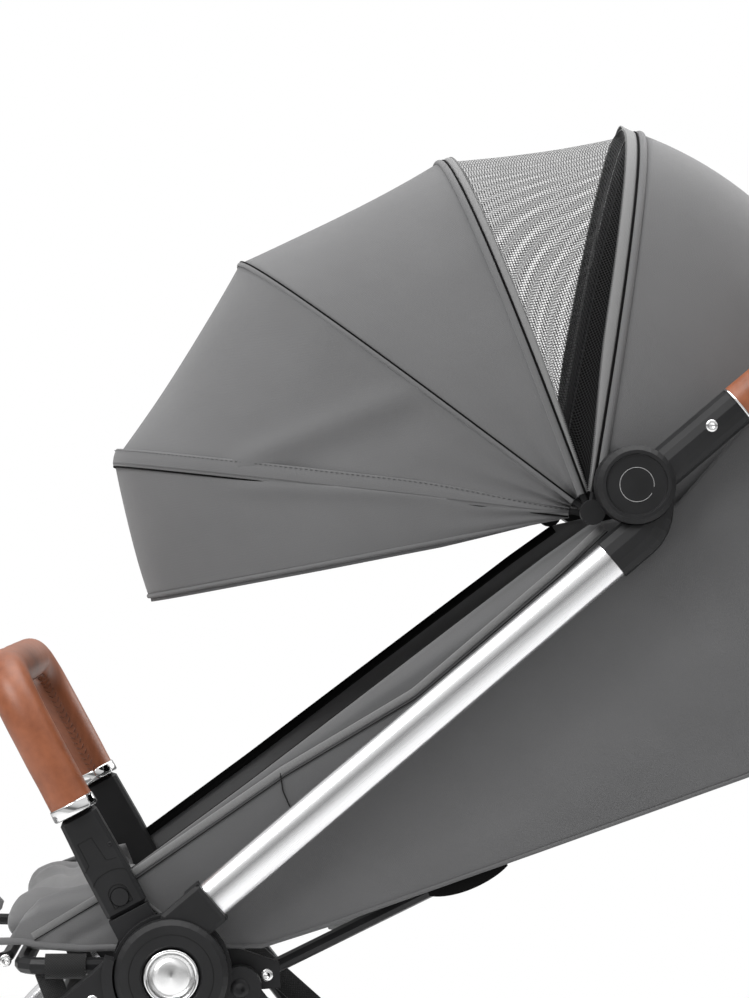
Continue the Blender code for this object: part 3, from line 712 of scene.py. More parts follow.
CAD_MATERIALS = {
    "silver_tube": SILVER, "hub_metal": NICKEL, "black_plastic": PLASTIC, "black_steel": STEEL,
    "brown_leather": LEATHER, "grey_fabric": SHADED_GREY, "black_mesh": NET, "tyre": TYRE,
    "buckle_button": RED,
}


def dress_cad_nodes():
    """Give every CAD node the material of its slot in the record."""
    for part in frame["record"]["subparts"]:
        mesh = frame["nodes"][part["node"]].data
        mesh.materials.clear()
        mesh.materials.append(CAD_MATERIALS[part["material_slot"]])


def frame_tubes():
    for side in SIDES:
        low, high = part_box(f"frame_tube_{NAMES[side]}")
        wide = (high.y - low.y) / 2
        ends = [world(on_line(s, TUBE_N), side * SIDE_O) for s in (0.0615, 0.470)]
        made = tube(f"satin_tube_{NAMES[side]}", resampled(ends, 12), wide, 0.0155, SILVER, 40,
                    (LINE_UP[0], 0, LINE_UP[1]))
        dressed(made, "frame", "silver_tube", f"frame_tube_{NAMES[side]}")


def leg_tubes():
    """The silver front legs, smooth all the way round."""
    knee = on_line(-0.165, TUBE_N)
    slope = radians(62)
    foot = (knee[0] - 0.123 / sin(slope) * cos(slope), knee[1] - 0.123)
    for side in SIDES:
        corners = [world(on_line(-0.0805, TUBE_N), side * SIDE_O), world(knee, side * SIDE_O),
                   world(foot, side * 0.175)]
        path = resampled(rounded(corners, 0.05, 10), 40)
        made = tube(f"satin_leg_{NAMES[side]}", path, 0.010, 0.0145, SILVER, 32,
                    (LINE_UP[0], 0, LINE_UP[1]))
        dressed(made, "front_legs", "silver_tube", f"front_leg_{NAMES[side]}")


def rivet(name, place, o, side, radius, body, material=None):
    """A domed rivet head with a small recess in its middle."""
    profile = [(0, 0.0004), (0.34, 0.0004), (0.42, 0.0012), (0.62, 0.0013), (0.85, 0.0009),
               (0.98, 0.0003), (1.0, -0.0004)]
    made = lathe(name, [(r * radius, h) for r, h in profile], world(place, side * o),
                 (0, side, 0), material or NICKEL, 32)
    return dressed(made, body, "hub_metal")


def rivets():
    heads = (
        ("sleeve_rivet", on_line(0.5965, HANDLE_N + 0.002), 0.2306, 0.0050, "handle", NICKEL),
        ("fitting_rivet", on_line(-0.059, 0.0244), 0.2362, 0.0055, "front_legs", NICKEL),
        ("rear_pivot_rivet", (0.053, -0.014), 0.2016, 0.0075, "rear_legs", STEEL),
        ("back_hinge_rivet", BACK_HINGE, 0.1834, 0.0052, "frame", NICKEL),
        ("leg_rest_rivet", (-0.1335, 0.003), 0.1560, 0.0050, "leg_rest", NICKEL),
        ("adapter_rivet", along(BUMPER_FOOT, BUMPER_ANGLE, 0.074, -0.0125), 0.2092, 0.0016,
         "bumper", STEEL),
    )
    for name, place, o, radius, body, material in heads:
        for side in SIDES:
            rivet(f"{name}_{NAMES[side]}", place, o, side, radius, body, material)


def hub_caps():
    """Polished ring round a brushed, slightly conical disc in each lower hub."""
    low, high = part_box("hub_cap_left")
    radius = (high.x - low.x) / 2
    near = min(abs(low.y), abs(high.y))
    far = max(abs(low.y), abs(high.y))
    edge = radius - 0.0032
    for side in SIDES:
        name = NAMES[side]
        ring_profile = [(edge, near), (radius, near), (radius, far - 0.0014),
                        (radius - 0.0005, far - 0.0003), (radius - 0.0012, far),
                        (edge + 0.0006, far - 0.0004), (edge, far - 0.0014)]
        made = lathe(f"hub_ring_{name}", ring_profile, world((0, 0), 0), (0, side, 0), CHROME, 96,
                     hollow=True)
        dressed(made, "frame", "hub_metal")
        cone = [(0, near + 0.001), (edge - 0.0002, near + 0.001), (edge - 0.0002, far - 0.0030),
                (edge * 0.5, far - 0.0012), (0.0004, far + 0.0002), (0, far + 0.0002)]
        made = lathe(f"hub_disc_{name}", cone, world((0, 0), 0), (0, side, 0), CONE, 96)
        dressed(made, "frame", "hub_metal", f"hub_cap_{name}")
        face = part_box(f"lower_hub_{name}")[0 if side == LEFT else 1].y
        seam = lathe(f"hub_face_line_{name}", [
            (0.0325, abs(face) - 0.0004), (0.0331, abs(face) - 0.0004), (0.0331, abs(face) + 0.0003),
            (0.0325, abs(face) + 0.0003)], world((0, 0), 0), (0, side, 0), LINES, 96, hollow=True)
        dressed(seam, "frame", "black_plastic")


def hub_marks():
    """The pale open circle printed on each upper hub."""
    centre = on_line(*TOP_HUB)
    for side in SIDES:
        turns = [radians(-8 + 338 * k / 96) for k in range(97)]
        path = [world(along(centre, t, 0.0134), side * 0.2326) for t in turns]
        rows = sweep_rows(path, ring(0.00012, 0.00024, 8), (cos(turns[0]), 0, sin(turns[0])))
        made = grid_piece(f"hub_mark_{NAMES[side]}", rows, MARK, wrap=True, caps=True)
        dressed(made, "handle", "hub_metal")


# ---- leather bar and handle ----------------------------------------------------------

def leather_bar(name, path, radius, start_up, body, *nodes):
    """A leather sleeve round a bar, with its cross-stitched seam on the upward side."""
    rows = sweep_rows(path, ring(radius, radius, 40), start_up)
    centres = list(path)
    for i, row in enumerate(rows):
        for k, point in enumerate(row):
            out = (point - centres[i]).normalized()
            uneven = noise.noise(point * 38) * 0.00035
            seam = hump((k / 40 - 0.25) * 2 * pi * radius, 0.0016) * 0.0009
            row[k] = point + out * (uneven - seam)
    made = grid_piece(name, rows, LEATHER, wrap=True, caps=True)
    dressed(made, body, "brown_leather", *nodes)
    ups = carried_ups(path, start_up)
    for row, (turn, slant) in enumerate(((0.13, 0.75), (-0.13, -0.75))):
        line, outs = surface_line(path, ups, radius - 0.0002, turn)
        stitches = stitch_run(f"{name}_stitches_{row}", line, outs, SEAM_THREAD, 0.0050, 0.0002,
                              0.00042, slant)
        dressed(stitches, body, "brown_leather")
    return made


def bumper():
    """The leather bar with a polished ring on each foot."""
    start = along(BUMPER_FOOT, BUMPER_ANGLE, 0.1164)
    top = along(BUMPER_FOOT, BUMPER_ANGLE, 0.231)
    corners = [world(start, -BUMPER_O), world(top, -BUMPER_O), world(top, BUMPER_O),
               world(start, BUMPER_O)]
    path = resampled(rounded(corners, 0.120, 20), 150)
    leather_bar("bumper_leather", path, BUMPER_R, (0, 1, 0), "bumper", "bumper_bar")
    axis = (cos(BUMPER_ANGLE), 0, sin(BUMPER_ANGLE))
    profile = [(0.0150, 0.0004), (0.0180, 0.0004), (0.0187, 0.0012), (0.0188, 0.0040),
               (0.0186, 0.0088), (0.0182, 0.0100), (0.0168, 0.0104)]
    foot = along(BUMPER_FOOT, BUMPER_ANGLE, 0.1064)
    for side in SIDES:
        made = lathe(f"bumper_ring_{NAMES[side]}", profile, world(foot, side * BUMPER_O), axis,
                     CHROME, 72, hollow=True)
        dressed(made, "bumper", "hub_metal")


def line_on_plate(name, points, o, side, radius, body, material=None):
    """A thin line that follows side-view places on a flat face."""
    path = resampled([world(p, side * o) for p in points], 8 * len(points))
    made = tube(name, path, radius, radius, material or LINES, 8, (0, 1, 0))
    return dressed(made, body, "black_plastic")


def adapter_details():
    """Panel lines, the step and the outline of the release button on each bumper adapter."""
    def at(q, w):
        return along(BUMPER_FOOT, BUMPER_ANGLE, q, w)

    button = [at(0.0270, 0.0078), at(0.0360, 0.0078)]
    button += [at(0.0360 + 0.0078 * sin(radians(a)), 0.0078 * cos(radians(a)))
               for a in range(15, 180, 15)]
    button += [at(0.0360, -0.0078), at(0.0270, -0.0078), at(0.0270, 0.0078)]
    panel = [at(0.0620, 0.0160), at(0.0660, 0.0100), at(0.0850, 0.0100), at(0.0850, -0.0020),
             at(0.0640, -0.0040), at(0.0620, -0.0120)]
    step = [at(0.0480 + 0.0075 * cos(radians(a)), -0.0150 * sin(radians(a)))
            for a in range(-78, 79, 12)]
    for side in SIDES:
        name = NAMES[side]
        line_on_plate(f"button_outline_{name}", button, 0.2090, side, 0.00045, "bumper")
        line_on_plate(f"adapter_panel_line_{name}", panel, 0.2090, side, 0.00030, "bumper")
        line_on_plate(f"adapter_step_line_{name}", step, 0.2090, side, 0.00040, "bumper")


def handle():
    """Leather grips on both sides, with a thin polished ring at each sleeve."""
    up = Vector((-LINE_UP[0], 0, -LINE_UP[1]))
    for side in SIDES:
        name = NAMES[side]
        corners = [world(on_line(SLEEVE_END + 0.0020, HANDLE_N), side * SIDE_O),
                   world(on_line(HANDLE_END, HANDLE_N), side * SIDE_O),
                   world(on_line(HANDLE_END, HANDLE_N), side * 0.0453)]
        path = resampled(rounded(corners, 0.080, 16), 110)
        leather_bar(f"grip_leather_{name}", path, 0.0164, up, "handle", f"handle_grip_{name}")
        profile = [(0.0140, 0.0003), (0.0170, 0.0003), (0.0172, 0.0010), (0.0169, 0.0019),
                   (0.0150, 0.0022)]
        made = lathe(f"grip_ring_{name}", profile,
                     world(on_line(SLEEVE_END, HANDLE_N), side * SIDE_O),
                     (LINE[0], 0, LINE[1]), CHROME, 64, hollow=True)
        dressed(made, "handle", "hub_metal")


# ---- canopy --------------------------------------------------------------------------

CANOPY_CENTRE = world(CANOPY_PIVOT, 0.0)
ARCH_STEPS = 96


def arch(angle, reach, half_width, lowest, shift=0.0, steps=ARCH_STEPS):
    """Points of a bow in a plane through the canopy pivots, shifted to one side of it."""
    power = 2 / SQUARENESS
    start = asin((lowest / reach) ** (1 / power))
    points = []
    for k in range(steps + 1):
        swing = start + (pi - 2 * start) * k / steps
        high = reach * abs(sin(swing)) ** power
        wide = half_width * abs(cos(swing)) ** power
        wide = wide if cos(swing) > 0 else -wide
        points.append(world(along(CANOPY_PIVOT, radians(angle), high, shift), wide))
    return points


def bow_arch(which, lift, shift, lowest=0.016):
    angle, reach, half_width = BOWS[which]
    return arch(angle, reach + lift, half_width + lift, lowest, shift)


def from_pivot(point):
    return hypot(point.x - CANOPY_CENTRE.x, point.z - CANOPY_CENTRE.z)


def outward_from_canopy(point):
    return point - CANOPY_CENTRE


def off_line(point, start, end):
    """Distance of a point from a side-view line, left positive, and how far along it is."""
    place = Vector((point.x - HUB.x, point.z - HUB.z))
    first = Vector(start)
    way = Vector(end) - first
    t = (place - first).dot(way) / way.length_squared
    away = way.x * (place.y - first.y) - way.y * (place.x - first.x)
    return away / way.length, t


def crease(point, start, end, height, width):
    """A soft fold along a side-view line, fading out at both of its ends."""
    away, t = off_line(point, start, end)
    fade = smooth_step((t + 0.15) / 0.3) * smooth_step((1.15 - t) / 0.3)
    return height * fade * hump(away, width)


def gathers(point, t, folds, height):
    """Folds that run out from the pivot and fade away from it."""
    return height * hump(from_pivot(point), 0.085) * sin(2 * pi * folds * t)


def slow_ripple(point, height, size=9.0):
    return height * noise.noise(point * size)


def fan_rows(first, last, spans, sag):
    """Straight lines from one arch to the next, drawn in a little between them."""
    rows = []
    for i in range(spans + 1):
        t = i / spans
        rows.append([
            a.lerp(b, t) + (CANOPY_CENTRE - a).normalized() * sag * 4 * t * (1 - t)
            for a, b in zip(first, last)])
    return rows


def fan_panel(name, rows, material, amount):
    """A cloth between two bows, pushed out along its normals by amount."""
    rows = displaced(rows, amount, outward_from_canopy)
    made = grid_piece(name, rows, material, inside=CANOPY_CENTRE)
    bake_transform(made)
    return made


def front_panel_shape(point, t, k):
    fold = crease(point, (0.052, 0.399), (0.190, 0.456), 0.0040, 0.010)
    hollow = crease(point, (0.070, 0.386), (0.200, 0.432), -0.0022, 0.014)
    return fold + hollow + gathers(point, t, 2.5, 0.0016) + slow_ripple(point, 0.0018)


def middle_panel_shape(point, t, k):
    return gathers(point, t, 2.0, 0.0012) + slow_ripple(point, 0.0014)


def bow_seam(which, body, roll_shift, roll_radius, gap_shift):
    """Cloth rolled over a bow, with the dark gap of its seam beside it."""
    roll = bow_arch(which, CLOTH_LIFT, roll_shift)
    made = tube(f"bow_roll_{which}", roll, roll_radius * 1.3, roll_radius, GREY, 16, (0, 1, 0))
    dressed(made, body, "grey_fabric")
    gap = bow_arch(which, CLOTH_LIFT + 0.0004, gap_shift)
    made = tube(f"bow_gap_{which}", gap, 0.0009, 0.0009, LINING, 10, (0, 1, 0))
    dressed(made, body, "grey_fabric")


def canopy_cloths():
    middle = bow_arch("middle", CLOTH_LIFT, 0.0)
    rows = fan_rows(bow_arch("front", CLOTH_LIFT, -0.001), middle, 30, 0.0030)
    front = fan_panel("canopy_cloth_front", rows, GREY,
                      front_panel_shape)
    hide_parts("canopy_panel_front")
    rows_middle = fan_rows(middle, bow_arch("window", CLOTH_LIFT, 0.0010), 30, 0.0035)
    back = fan_panel("canopy_cloth_middle", rows_middle, GREY,
                     middle_panel_shape)
    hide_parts("canopy_panel_middle")
    for made, cloth, bows in ((front, rows, ("front", "middle")),
                              (back, rows_middle, ("middle", "window"))):
        add_thickness(made, 0.0011)


def canopy_net():
    first = bow_arch("window", CLOTH_LIFT - 0.0016, -0.0030)
    last = bow_arch("rear", CLOTH_LIFT - 0.0030, 0.0060)
    rows = fan_rows(first, last, 24, 0.0030)
    made = fan_panel("canopy_net", rows, NET,
                     lambda point, t, k: slow_ripple(point, 0.0010))
    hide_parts("canopy_window")


def narrowed(which, lift, near, far, share=1.0):
    """A line beside a bow, at near from it by the pivot and moving out to far beyond it."""
    base = bow_arch(which, lift, near)
    wide = bow_arch(which, lift, far)
    return [low.lerp(high, share * (0.2 + 0.8 * smooth_step(from_pivot(low) / TAPER_REACH)))
            for low, high in zip(base, wide)]


def zip_tape(which, body, near, far, raised):
    """Zip tape along the net's edge, with its row of teeth on the net's side."""
    rows = []
    for t in (0.0, 0.15, 0.5, 0.85, 1.0):
        lift = CLOTH_LIFT + 0.0004 + 0.0010 * 4 * t * (1 - t)
        path = narrowed(which, lift, near, far, t)
        middle = (len(path) - 1) / 2
        rows.append([
            point + outward_from_canopy(point).normalized()
            * raised * hump((k - middle) / middle, 0.05) * t
            for k, point in enumerate(path)])
    made = add_thickness(grid_piece(f"zip_tape_{which}", rows, ZIP_TAPE, inside=CANOPY_CENTRE),
                         0.0008)
    dressed(made, body, "grey_fabric")
    teeth_line = narrowed(which, CLOTH_LIFT + 0.0002, near, far)
    outs = [outward_from_canopy(point).normalized() for point in teeth_line]
    teeth = stitch_run(f"zip_teeth_{which}", teeth_line, outs, ZIP_TAPE, 0.0022, -0.0006,
                       0.00042, radians(90))
    dressed(teeth, body, "grey_fabric")


def canopy_rear():
    """Cloth from the rear bow down behind the backrest."""
    angle, reach, width = BOWS["rear"]
    middle = 31.0
    last = -26.0
    rows = []
    spans = 48
    for i in range(spans + 1):
        t = i / spans
        turn = angle + (last - angle) * t
        fall = min(1.0, (angle - turn) / (angle - middle))
        away = max(0.0, (middle - turn) / (middle - last))
        size = reach - 0.046 * fall - 0.012 * away + CLOTH_LIFT * (1 - t)
        rows.append(arch(turn, size, width + CLOTH_LIFT * (1 - t) - 0.001 * t, 0.045,
                         -0.0015 * (1 - t)))
    rows = displaced(rows, lambda point, t, k: slow_ripple(point, 0.0030, 7.0) * t,
                     outward_from_canopy)
    made = add_thickness(grid_piece("canopy_cloth_rear", rows, GREY, inside=CANOPY_CENTRE),
                         0.0011, lining=LINING)
    dressed(made, "frame", "grey_fabric", "canopy_rear_panel")
    hem = tube("canopy_rear_hem", rows[-1], 0.0018, 0.0018, GREY, 12, (0, 1, 0))
    dressed(hem, "frame", "grey_fabric")


def visor():
    """The peak in front of the first bow, with its turned hem."""
    angle, reach, width = BOWS["front"]
    seam = arch(angle, reach + CLOTH_LIFT, width + CLOTH_LIFT, 0.016, 0.0020)
    hem_line = arch(VISOR_ANGLE, VISOR_REACH, width + 0.001, 0.016)
    rows = fan_rows(seam, hem_line, 26, -0.0022)

    def shape(point, t, k):
        fold = crease(point, (0.045, 0.380), (0.230, 0.372), 0.0022, 0.007)
        return fold + gathers(point, t, 1.5, 0.0015) + slow_ripple(point, 0.0022, 11.0) * t

    rows = displaced(rows, shape, outward_from_canopy)
    made = add_thickness(grid_piece("canopy_peak", rows, GREY, inside=CANOPY_CENTRE), 0.0011,
                         lining=LINING)
    dressed(made, "canopy_front_bow", "grey_fabric", "canopy_visor")
    edge = rows[-1]
    hem = tube("peak_hem", edge, 0.0019, 0.0016, GREY, 14, (0, 1, 0))
    dressed(hem, "canopy_front_bow", "grey_fabric")
    facing_rows = []
    for i in range(4):
        t = i / 3
        facing_rows.append([
            point + (CANOPY_CENTRE - point).normalized() * (0.0012 + 0.0010 * t)
            + Vector((0, 0, -0.0050 * t * min(1.0, from_pivot(point) / 0.12)))
            for point in edge])
    # the facing uses the darker copy of the grey cloth, which is painted shade
    facing = add_thickness(grid_piece("peak_facing", facing_rows, SHADED_GREY,
                                      inside=CANOPY_CENTRE), 0.0009)
    dressed(facing, "canopy_front_bow", "grey_fabric")


def front_band():
    """Band of doubled cloth over the front bow: its roll, its gap and its row of stitches."""
    rows = []
    for i in range(9):
        t = i / 8
        lift = CLOTH_LIFT + 0.0016 * sin(pi * min(1.0, t * 1.5) / 2)
        rows.append(narrowed("front", lift, 0.0025, -0.0100, 1 - t))
    band = add_thickness(grid_piece("front_bow_band", rows, GREY, inside=CANOPY_CENTRE), 0.0012)
    dressed(band, "canopy_front_bow", "grey_fabric")
    line = narrowed("front", CLOTH_LIFT + 0.0008, 0.0025, -0.0085)
    outs = [outward_from_canopy(point).normalized() for point in line]
    stitches = stitch_run("front_bow_stitches", line, outs, DARK_THREAD, 0.0026, 0.0016)
    dressed(stitches, "canopy_front_bow", "grey_fabric")
    roll = bow_arch("front", CLOTH_LIFT, 0.0030)
    made = tube("bow_roll_front", roll, 0.0020, 0.0013, GREY, 16, (0, 1, 0))
    dressed(made, "canopy_front_bow", "grey_fabric")
    gap = bow_arch("front", CLOTH_LIFT + 0.0002, 0.0050)
    made = tube("bow_gap_front", gap, 0.0009, 0.0009, LINING, 10, (0, 1, 0))
    dressed(made, "canopy_front_bow", "grey_fabric")


# ---- side panels ---------------------------------------------------------------------

PANEL_TOP = [(-0.038, 0.075), (0.060, 0.1470), (0.180, 0.2380), (0.292, 0.3230),
             (0.330, 0.3500), (0.396, 0.3640), (0.431, 0.4040), (0.454, 0.4300),
             (0.485, 0.4420), (0.515, 0.4400), (0.545, 0.4200), (0.563, 0.3850)]
PANEL_FOOT = [(-0.030, 0.060), (0.000, 0.036), (0.036, 0.018), (0.070, 0.018), (0.124, 0.035),
              (0.290, 0.093), (0.455, 0.1515), (0.525, 0.190), (0.562, 0.240),
              (0.577, 0.300), (0.575, 0.345)]
PANEL_O = 0.1940
STRIP = [(-0.036, 0.076), (0.085, 0.1590), (0.188, 0.2200), (0.302, 0.3170), (0.337, 0.3500)]


def flat_path(places, count):
    return [Vector((p.x, p.y)) for p in resampled([(x, z, 0) for x, z in places], count)]


def panel_bulge(x, z, t):
    """How far the side cloth stands out: it hangs in long folds that run with the tube."""
    point = Vector((x + HUB.x, 0, z + HUB.z))
    fold = crease(point, (0.124, 0.095), (0.440, 0.372), 0.0032, 0.020)
    valley = crease(point, (0.170, 0.080), (0.520, 0.380), -0.0036, 0.035)
    pull = crease(point, (0.300, 0.120), (0.560, 0.330), 0.0024, 0.045)
    low = crease(point, (0.060, 0.040), (0.420, 0.155), 0.0012, 0.012)
    return fold + valley + pull + low + 0.0008 * noise.noise(point * 12) * (1 - abs(2 * t - 1))


def rolled_in(x, z):
    """How far the cloth above its binding turns in over the seat."""
    point = Vector((x + HUB.x, 0, z + HUB.z))
    above = max(off_line(point, STRIP[1], STRIP[3])[0], off_line(point, STRIP[0], STRIP[1])[0])
    return 0.0110 * smooth_step(above / 0.016) if x < 0.36 else 0.0


def side_cloth(side):
    name = NAMES[side]
    top = flat_path(PANEL_TOP, 90)
    foot = flat_path(PANEL_FOOT, 90)
    rows = []
    spans = 70
    for i in range(spans + 1):
        t = i / spans
        row = []
        for low, high in zip(foot, top):
            place = low.lerp(high, t)
            o = PANEL_O + panel_bulge(place.x, place.y, t) * min(1.0, 6 * t, 6 * (1 - t) + 0.2)
            o -= rolled_in(place.x, place.y)
            row.append(world(place, side * o))
        rows.append(row)
    # the side cloth uses the darker copy of the grey cloth, which is painted shade
    made = grid_piece(f"side_cloth_{name}", rows, SHADED_GREY, inside=world((0.2, 0.2), 0))
    add_thickness(made, 0.0012, lining=INNER_GREY)
    dressed(made, "frame", "grey_fabric", f"side_panel_{name}")
    edge = tube(f"side_cloth_hem_{name}", rows[0], 0.0016, 0.0018, SHADED_GREY, 12,
                (0, side, 0))
    dressed(edge, "frame", "grey_fabric")


def inner_edge(side):
    """Black binding inside the upper edge of a side cloth."""
    edge = flat_path(PANEL_TOP[:5], 60)
    rows = []
    for drop in (0.0, 0.0025, 0.005, 0.0075):
        rows.append([world((p.x + 0.6 * drop, p.y - 0.8 * drop),
                           side * (PANEL_O - 0.0036 - rolled_in(p.x + 0.6 * drop,
                                                                p.y - 0.8 * drop)))
                     for p in edge])
    made = grid_piece(f"inner_binding_{NAMES[side]}", rows, LINING, inside=world((0.2, 0.2), side))
    dressed(add_thickness(made, 0.0008), "frame", "grey_fabric")


def strip_rows(places, o, width, side, count, lift=0.0006):
    """A flat tape along side-view places, its upper edge on them."""
    path = flat_path(places, count)
    rows = []
    for t, rise in ((0.0, 0.0), (0.12, lift), (0.5, lift * 1.3), (0.88, lift), (1.0, 0.0)):
        row = []
        for k, place in enumerate(path):
            way = (path[min(k + 1, count - 1)] - path[max(k - 1, 0)]).normalized()
            down = Vector((way.y, -way.x)) * width * t
            row.append(world(place + down, side * (o + rise)))
        rows.append(row)
    return rows


def panel_binding(side):
    """Tape along the side cloth's upper edge, with its dark seam and a folded tab."""
    name = NAMES[side]
    o = PANEL_O + 0.0006
    rows = strip_rows(STRIP, o, 0.0062, side, 80)
    made = add_thickness(grid_piece(f"binding_{name}", rows, BINDING,
                                    inside=world((0.2, 0.2), 0)), 0.0006)
    dressed(made, "frame", "grey_fabric")
    lower = strip_rows(STRIP, o, 0.0082, side, 80)[-1]
    made = tube(f"binding_seam_{name}", lower, 0.0005, 0.0005, LINES, 8, (0, side, 0))
    dressed(made, "frame", "grey_fabric")
    tab = [world(p, side * (o + 0.0004)) for p in ((0.0845, 0.154), (0.0865, 0.140),
                                                 (0.0920, 0.1275))]
    made = tube(f"binding_tab_{name}", resampled(tab, 12), 0.0005, 0.0005, LINES, 8,
                (0, side, 0))
    dressed(made, "frame", "grey_fabric")


def pocket_flap(side):
    """Small flap under the side cloth's lower edge."""
    name = NAMES[side]
    top = flat_path([(0.200, 0.0630), (0.262, 0.0850)], 24)
    rows = []
    for i in range(7):
        t = i / 6
        rows.append([
            world((p.x + 0.002 * t, p.y - 0.0130 * t * sin(pi * min(1.0, (k + 2) / 26)) ** 0.5),
                  side * (PANEL_O - 0.0010 - 0.0020 * t))
            for k, p in enumerate(top)])
    made = add_thickness(grid_piece(f"flap_{name}", rows, LINING, inside=world((0.2, 0.2), 0)),
                         0.0014)
    dressed(made, "frame", "grey_fabric")


# ---- padding --------------------------------------------------------------------------

def tilted(start, angle):
    """Places on a slope: a function of (along it, above it) that gives a side-view place."""
    return lambda t, w: along(start, angle, t, w)


def pad_rows(outline, half, place, top=None):
    """Rings of a closed pad across its width, drawn in towards its two ends.

    outline holds (along, above) points on the slope, and top(y) lifts its upper points.
    """
    middle = sum(w for _, w in outline) / len(outline)
    loop = resampled([Vector((t, 0, w)) for t, w in outline + outline[:1]], 61)[:-1]
    centre = sum(p.x for p in loop) / len(loop)
    rows = []
    for n in range(41):
        v = sin(pi / 2 * (-1 + n / 20))
        thin = max(0.05, 1 - abs(v) ** 6) ** 0.5
        short = 1 - 0.03 * abs(v) ** 8
        ring_points = []
        for p in loop:
            rise = top(half * v) * smooth_step((p.z - middle) / 0.010) if top else 0.0
            spot = place(centre + (p.x - centre) * short, middle + (p.z + rise - middle) * thin)
            ring_points.append(world(spot, half * v))
        rows.append(ring_points)
    return rows


def baked(made):
    """Replace a piece's mesh by what its modifiers make of it."""
    view = bpy.context.evaluated_depsgraph_get()
    mesh = bpy.data.meshes.new_from_object(made.evaluated_get(view))
    made.modifiers.clear()
    made.data = mesh
    return made


def inflated(made, reach, voxel=0.005):
    """Swell a pad by cloth simulation with air inside, no point moving farther than reach."""
    remesh = made.modifiers.new("even_mesh", "REMESH")
    remesh.mode = "VOXEL"
    remesh.voxel_size = voxel
    baked(made)
    before = [vertex.co.copy() for vertex in made.data.vertices]
    scene = bpy.context.scene
    cloth = made.modifiers.new("swell", "CLOTH")
    cloth.settings.use_pressure = True
    cloth.settings.uniform_pressure_force = PAD_PRESSURE
    cloth.settings.effector_weights.gravity = 0.0
    for step in range(1, PAD_FRAMES + 1):
        scene.frame_set(step)
    baked(made)
    scene.frame_set(1)
    for vertex, start in zip(made.data.vertices, before):
        moved = vertex.co - start
        if moved.length > reach:
            vertex.co = start + moved.normalized() * reach
    smoother(made)
    baked(made)
    for face in made.data.polygons:
        face.use_smooth = True
    return made


def sewn(made, start, angle, depth):
    """Press a pad's upper side in by depth(t, y), with t along its slope."""
    up = Vector((-sin(angle), 0, cos(angle)))
    ahead = Vector((cos(angle), 0, sin(angle)))
    origin = world(start, 0)
    facing = [vertex.normal.dot(up) for vertex in made.data.vertices]
    for vertex, share in zip(made.data.vertices, facing):
        if share > 0.2:
            t = (vertex.co - origin).dot(ahead)
            vertex.co -= up * depth(t, vertex.co.y) * share
    return made


def box_uv(made):
    """UV map in metres, laid on each face from the direction it looks in."""
    mesh = made.data
    layer = mesh.uv_layers.new(name="metres")
    for face in mesh.polygons:
        size = [abs(value) for value in face.normal]
        flat = size.index(max(size))
        for corner in face.loop_indices:
            place = list(mesh.vertices[mesh.loops[corner].vertex_index].co)
            del place[flat]
            layer.data[corner].uv = place
    return made


def channel(distance, width, depth):
    return depth * hump(distance, width)


def seat_pad():
    outline = [(-0.118, 0.0095), (-0.133, 0.020), (-0.136, 0.034), (-0.128, 0.045),
               (-0.110, 0.0475), (-0.060, 0.0450), (-0.020, 0.0400), (0.020, 0.0370),
               (0.036, 0.030), (0.036, 0.016), (0.025, 0.0115)]

    def bolster(y):
        return 0.0090 * smooth_step((abs(y) - 0.070) / 0.050) - 0.0010

    rows = pad_rows(outline, 0.154, tilted((0, 0), 0.0), bolster)
    made = inflated(grid_piece("seat_cushion", rows, PAD_GREY, wrap=True, caps=True), 0.006)

    def seams(t, y):
        cross = channel(t + 0.050, 0.006, 0.0022) + channel(t + 0.094, 0.006, 0.0030)
        edge = channel(abs(y) - 0.104, 0.006, 0.0035)
        slit = channel(hypot((t + 0.103) / 2.4, abs(y) - 0.150), 0.007, 0.0050)
        return cross * (1 if abs(y) < 0.104 else 0.3) + edge + slit

    sewn(made, (0, 0), 0.0, seams)
    dressed(box_uv(made), "frame", "grey_fabric", "seat_pad")


def backrest_pad():
    outline = [(0.052, 0.000), (0.052, 0.016), (0.070, 0.0200), (0.260, 0.0215), (0.455, 0.0205),
               (0.470, 0.012), (0.468, 0.001), (0.440, -0.001), (0.080, -0.001)]

    def wings(y):
        return 0.0060 * smooth_step((abs(y) - 0.080) / 0.040)

    rows = pad_rows(outline, 0.137, tilted(BACK_HINGE, BACK_ANGLE), wings)
    made = inflated(grid_piece("backrest_cushion", rows, PAD_GREY, wrap=True, caps=True), 0.006)

    def seams(t, y):
        cross = sum(channel(t - place, 0.006, 0.0030) for place in (0.130, 0.215, 0.300, 0.385))
        edge = channel(abs(y) - 0.098, 0.006, 0.0035)
        return cross * (1 if abs(y) < 0.098 else 0.25) + edge

    sewn(made, BACK_HINGE, BACK_ANGLE, seams)
    dressed(box_uv(made), "backrest", "grey_fabric", "backrest_pad")


def leg_rest_pad():
    outline = [(-0.158, 0.0085), (-0.162, 0.016), (-0.155, 0.0245), (-0.090, 0.0270),
               (-0.025, 0.0260), (-0.017, 0.018), (-0.020, 0.0090)]
    rows = pad_rows(outline, 0.146, tilted(LEG_REST_HINGE, 0.0))
    made = inflated(grid_piece("leg_rest_cushion", rows, PAD_GREY, wrap=True, caps=True), 0.005)

    def seams(t, y):
        return sum(channel(t + place, 0.006, 0.0028) for place in (0.062, 0.112))

    sewn(made, LEG_REST_HINGE, 0.0, seams)
    dressed(box_uv(made), "leg_rest", "grey_fabric", "leg_rest_pad")


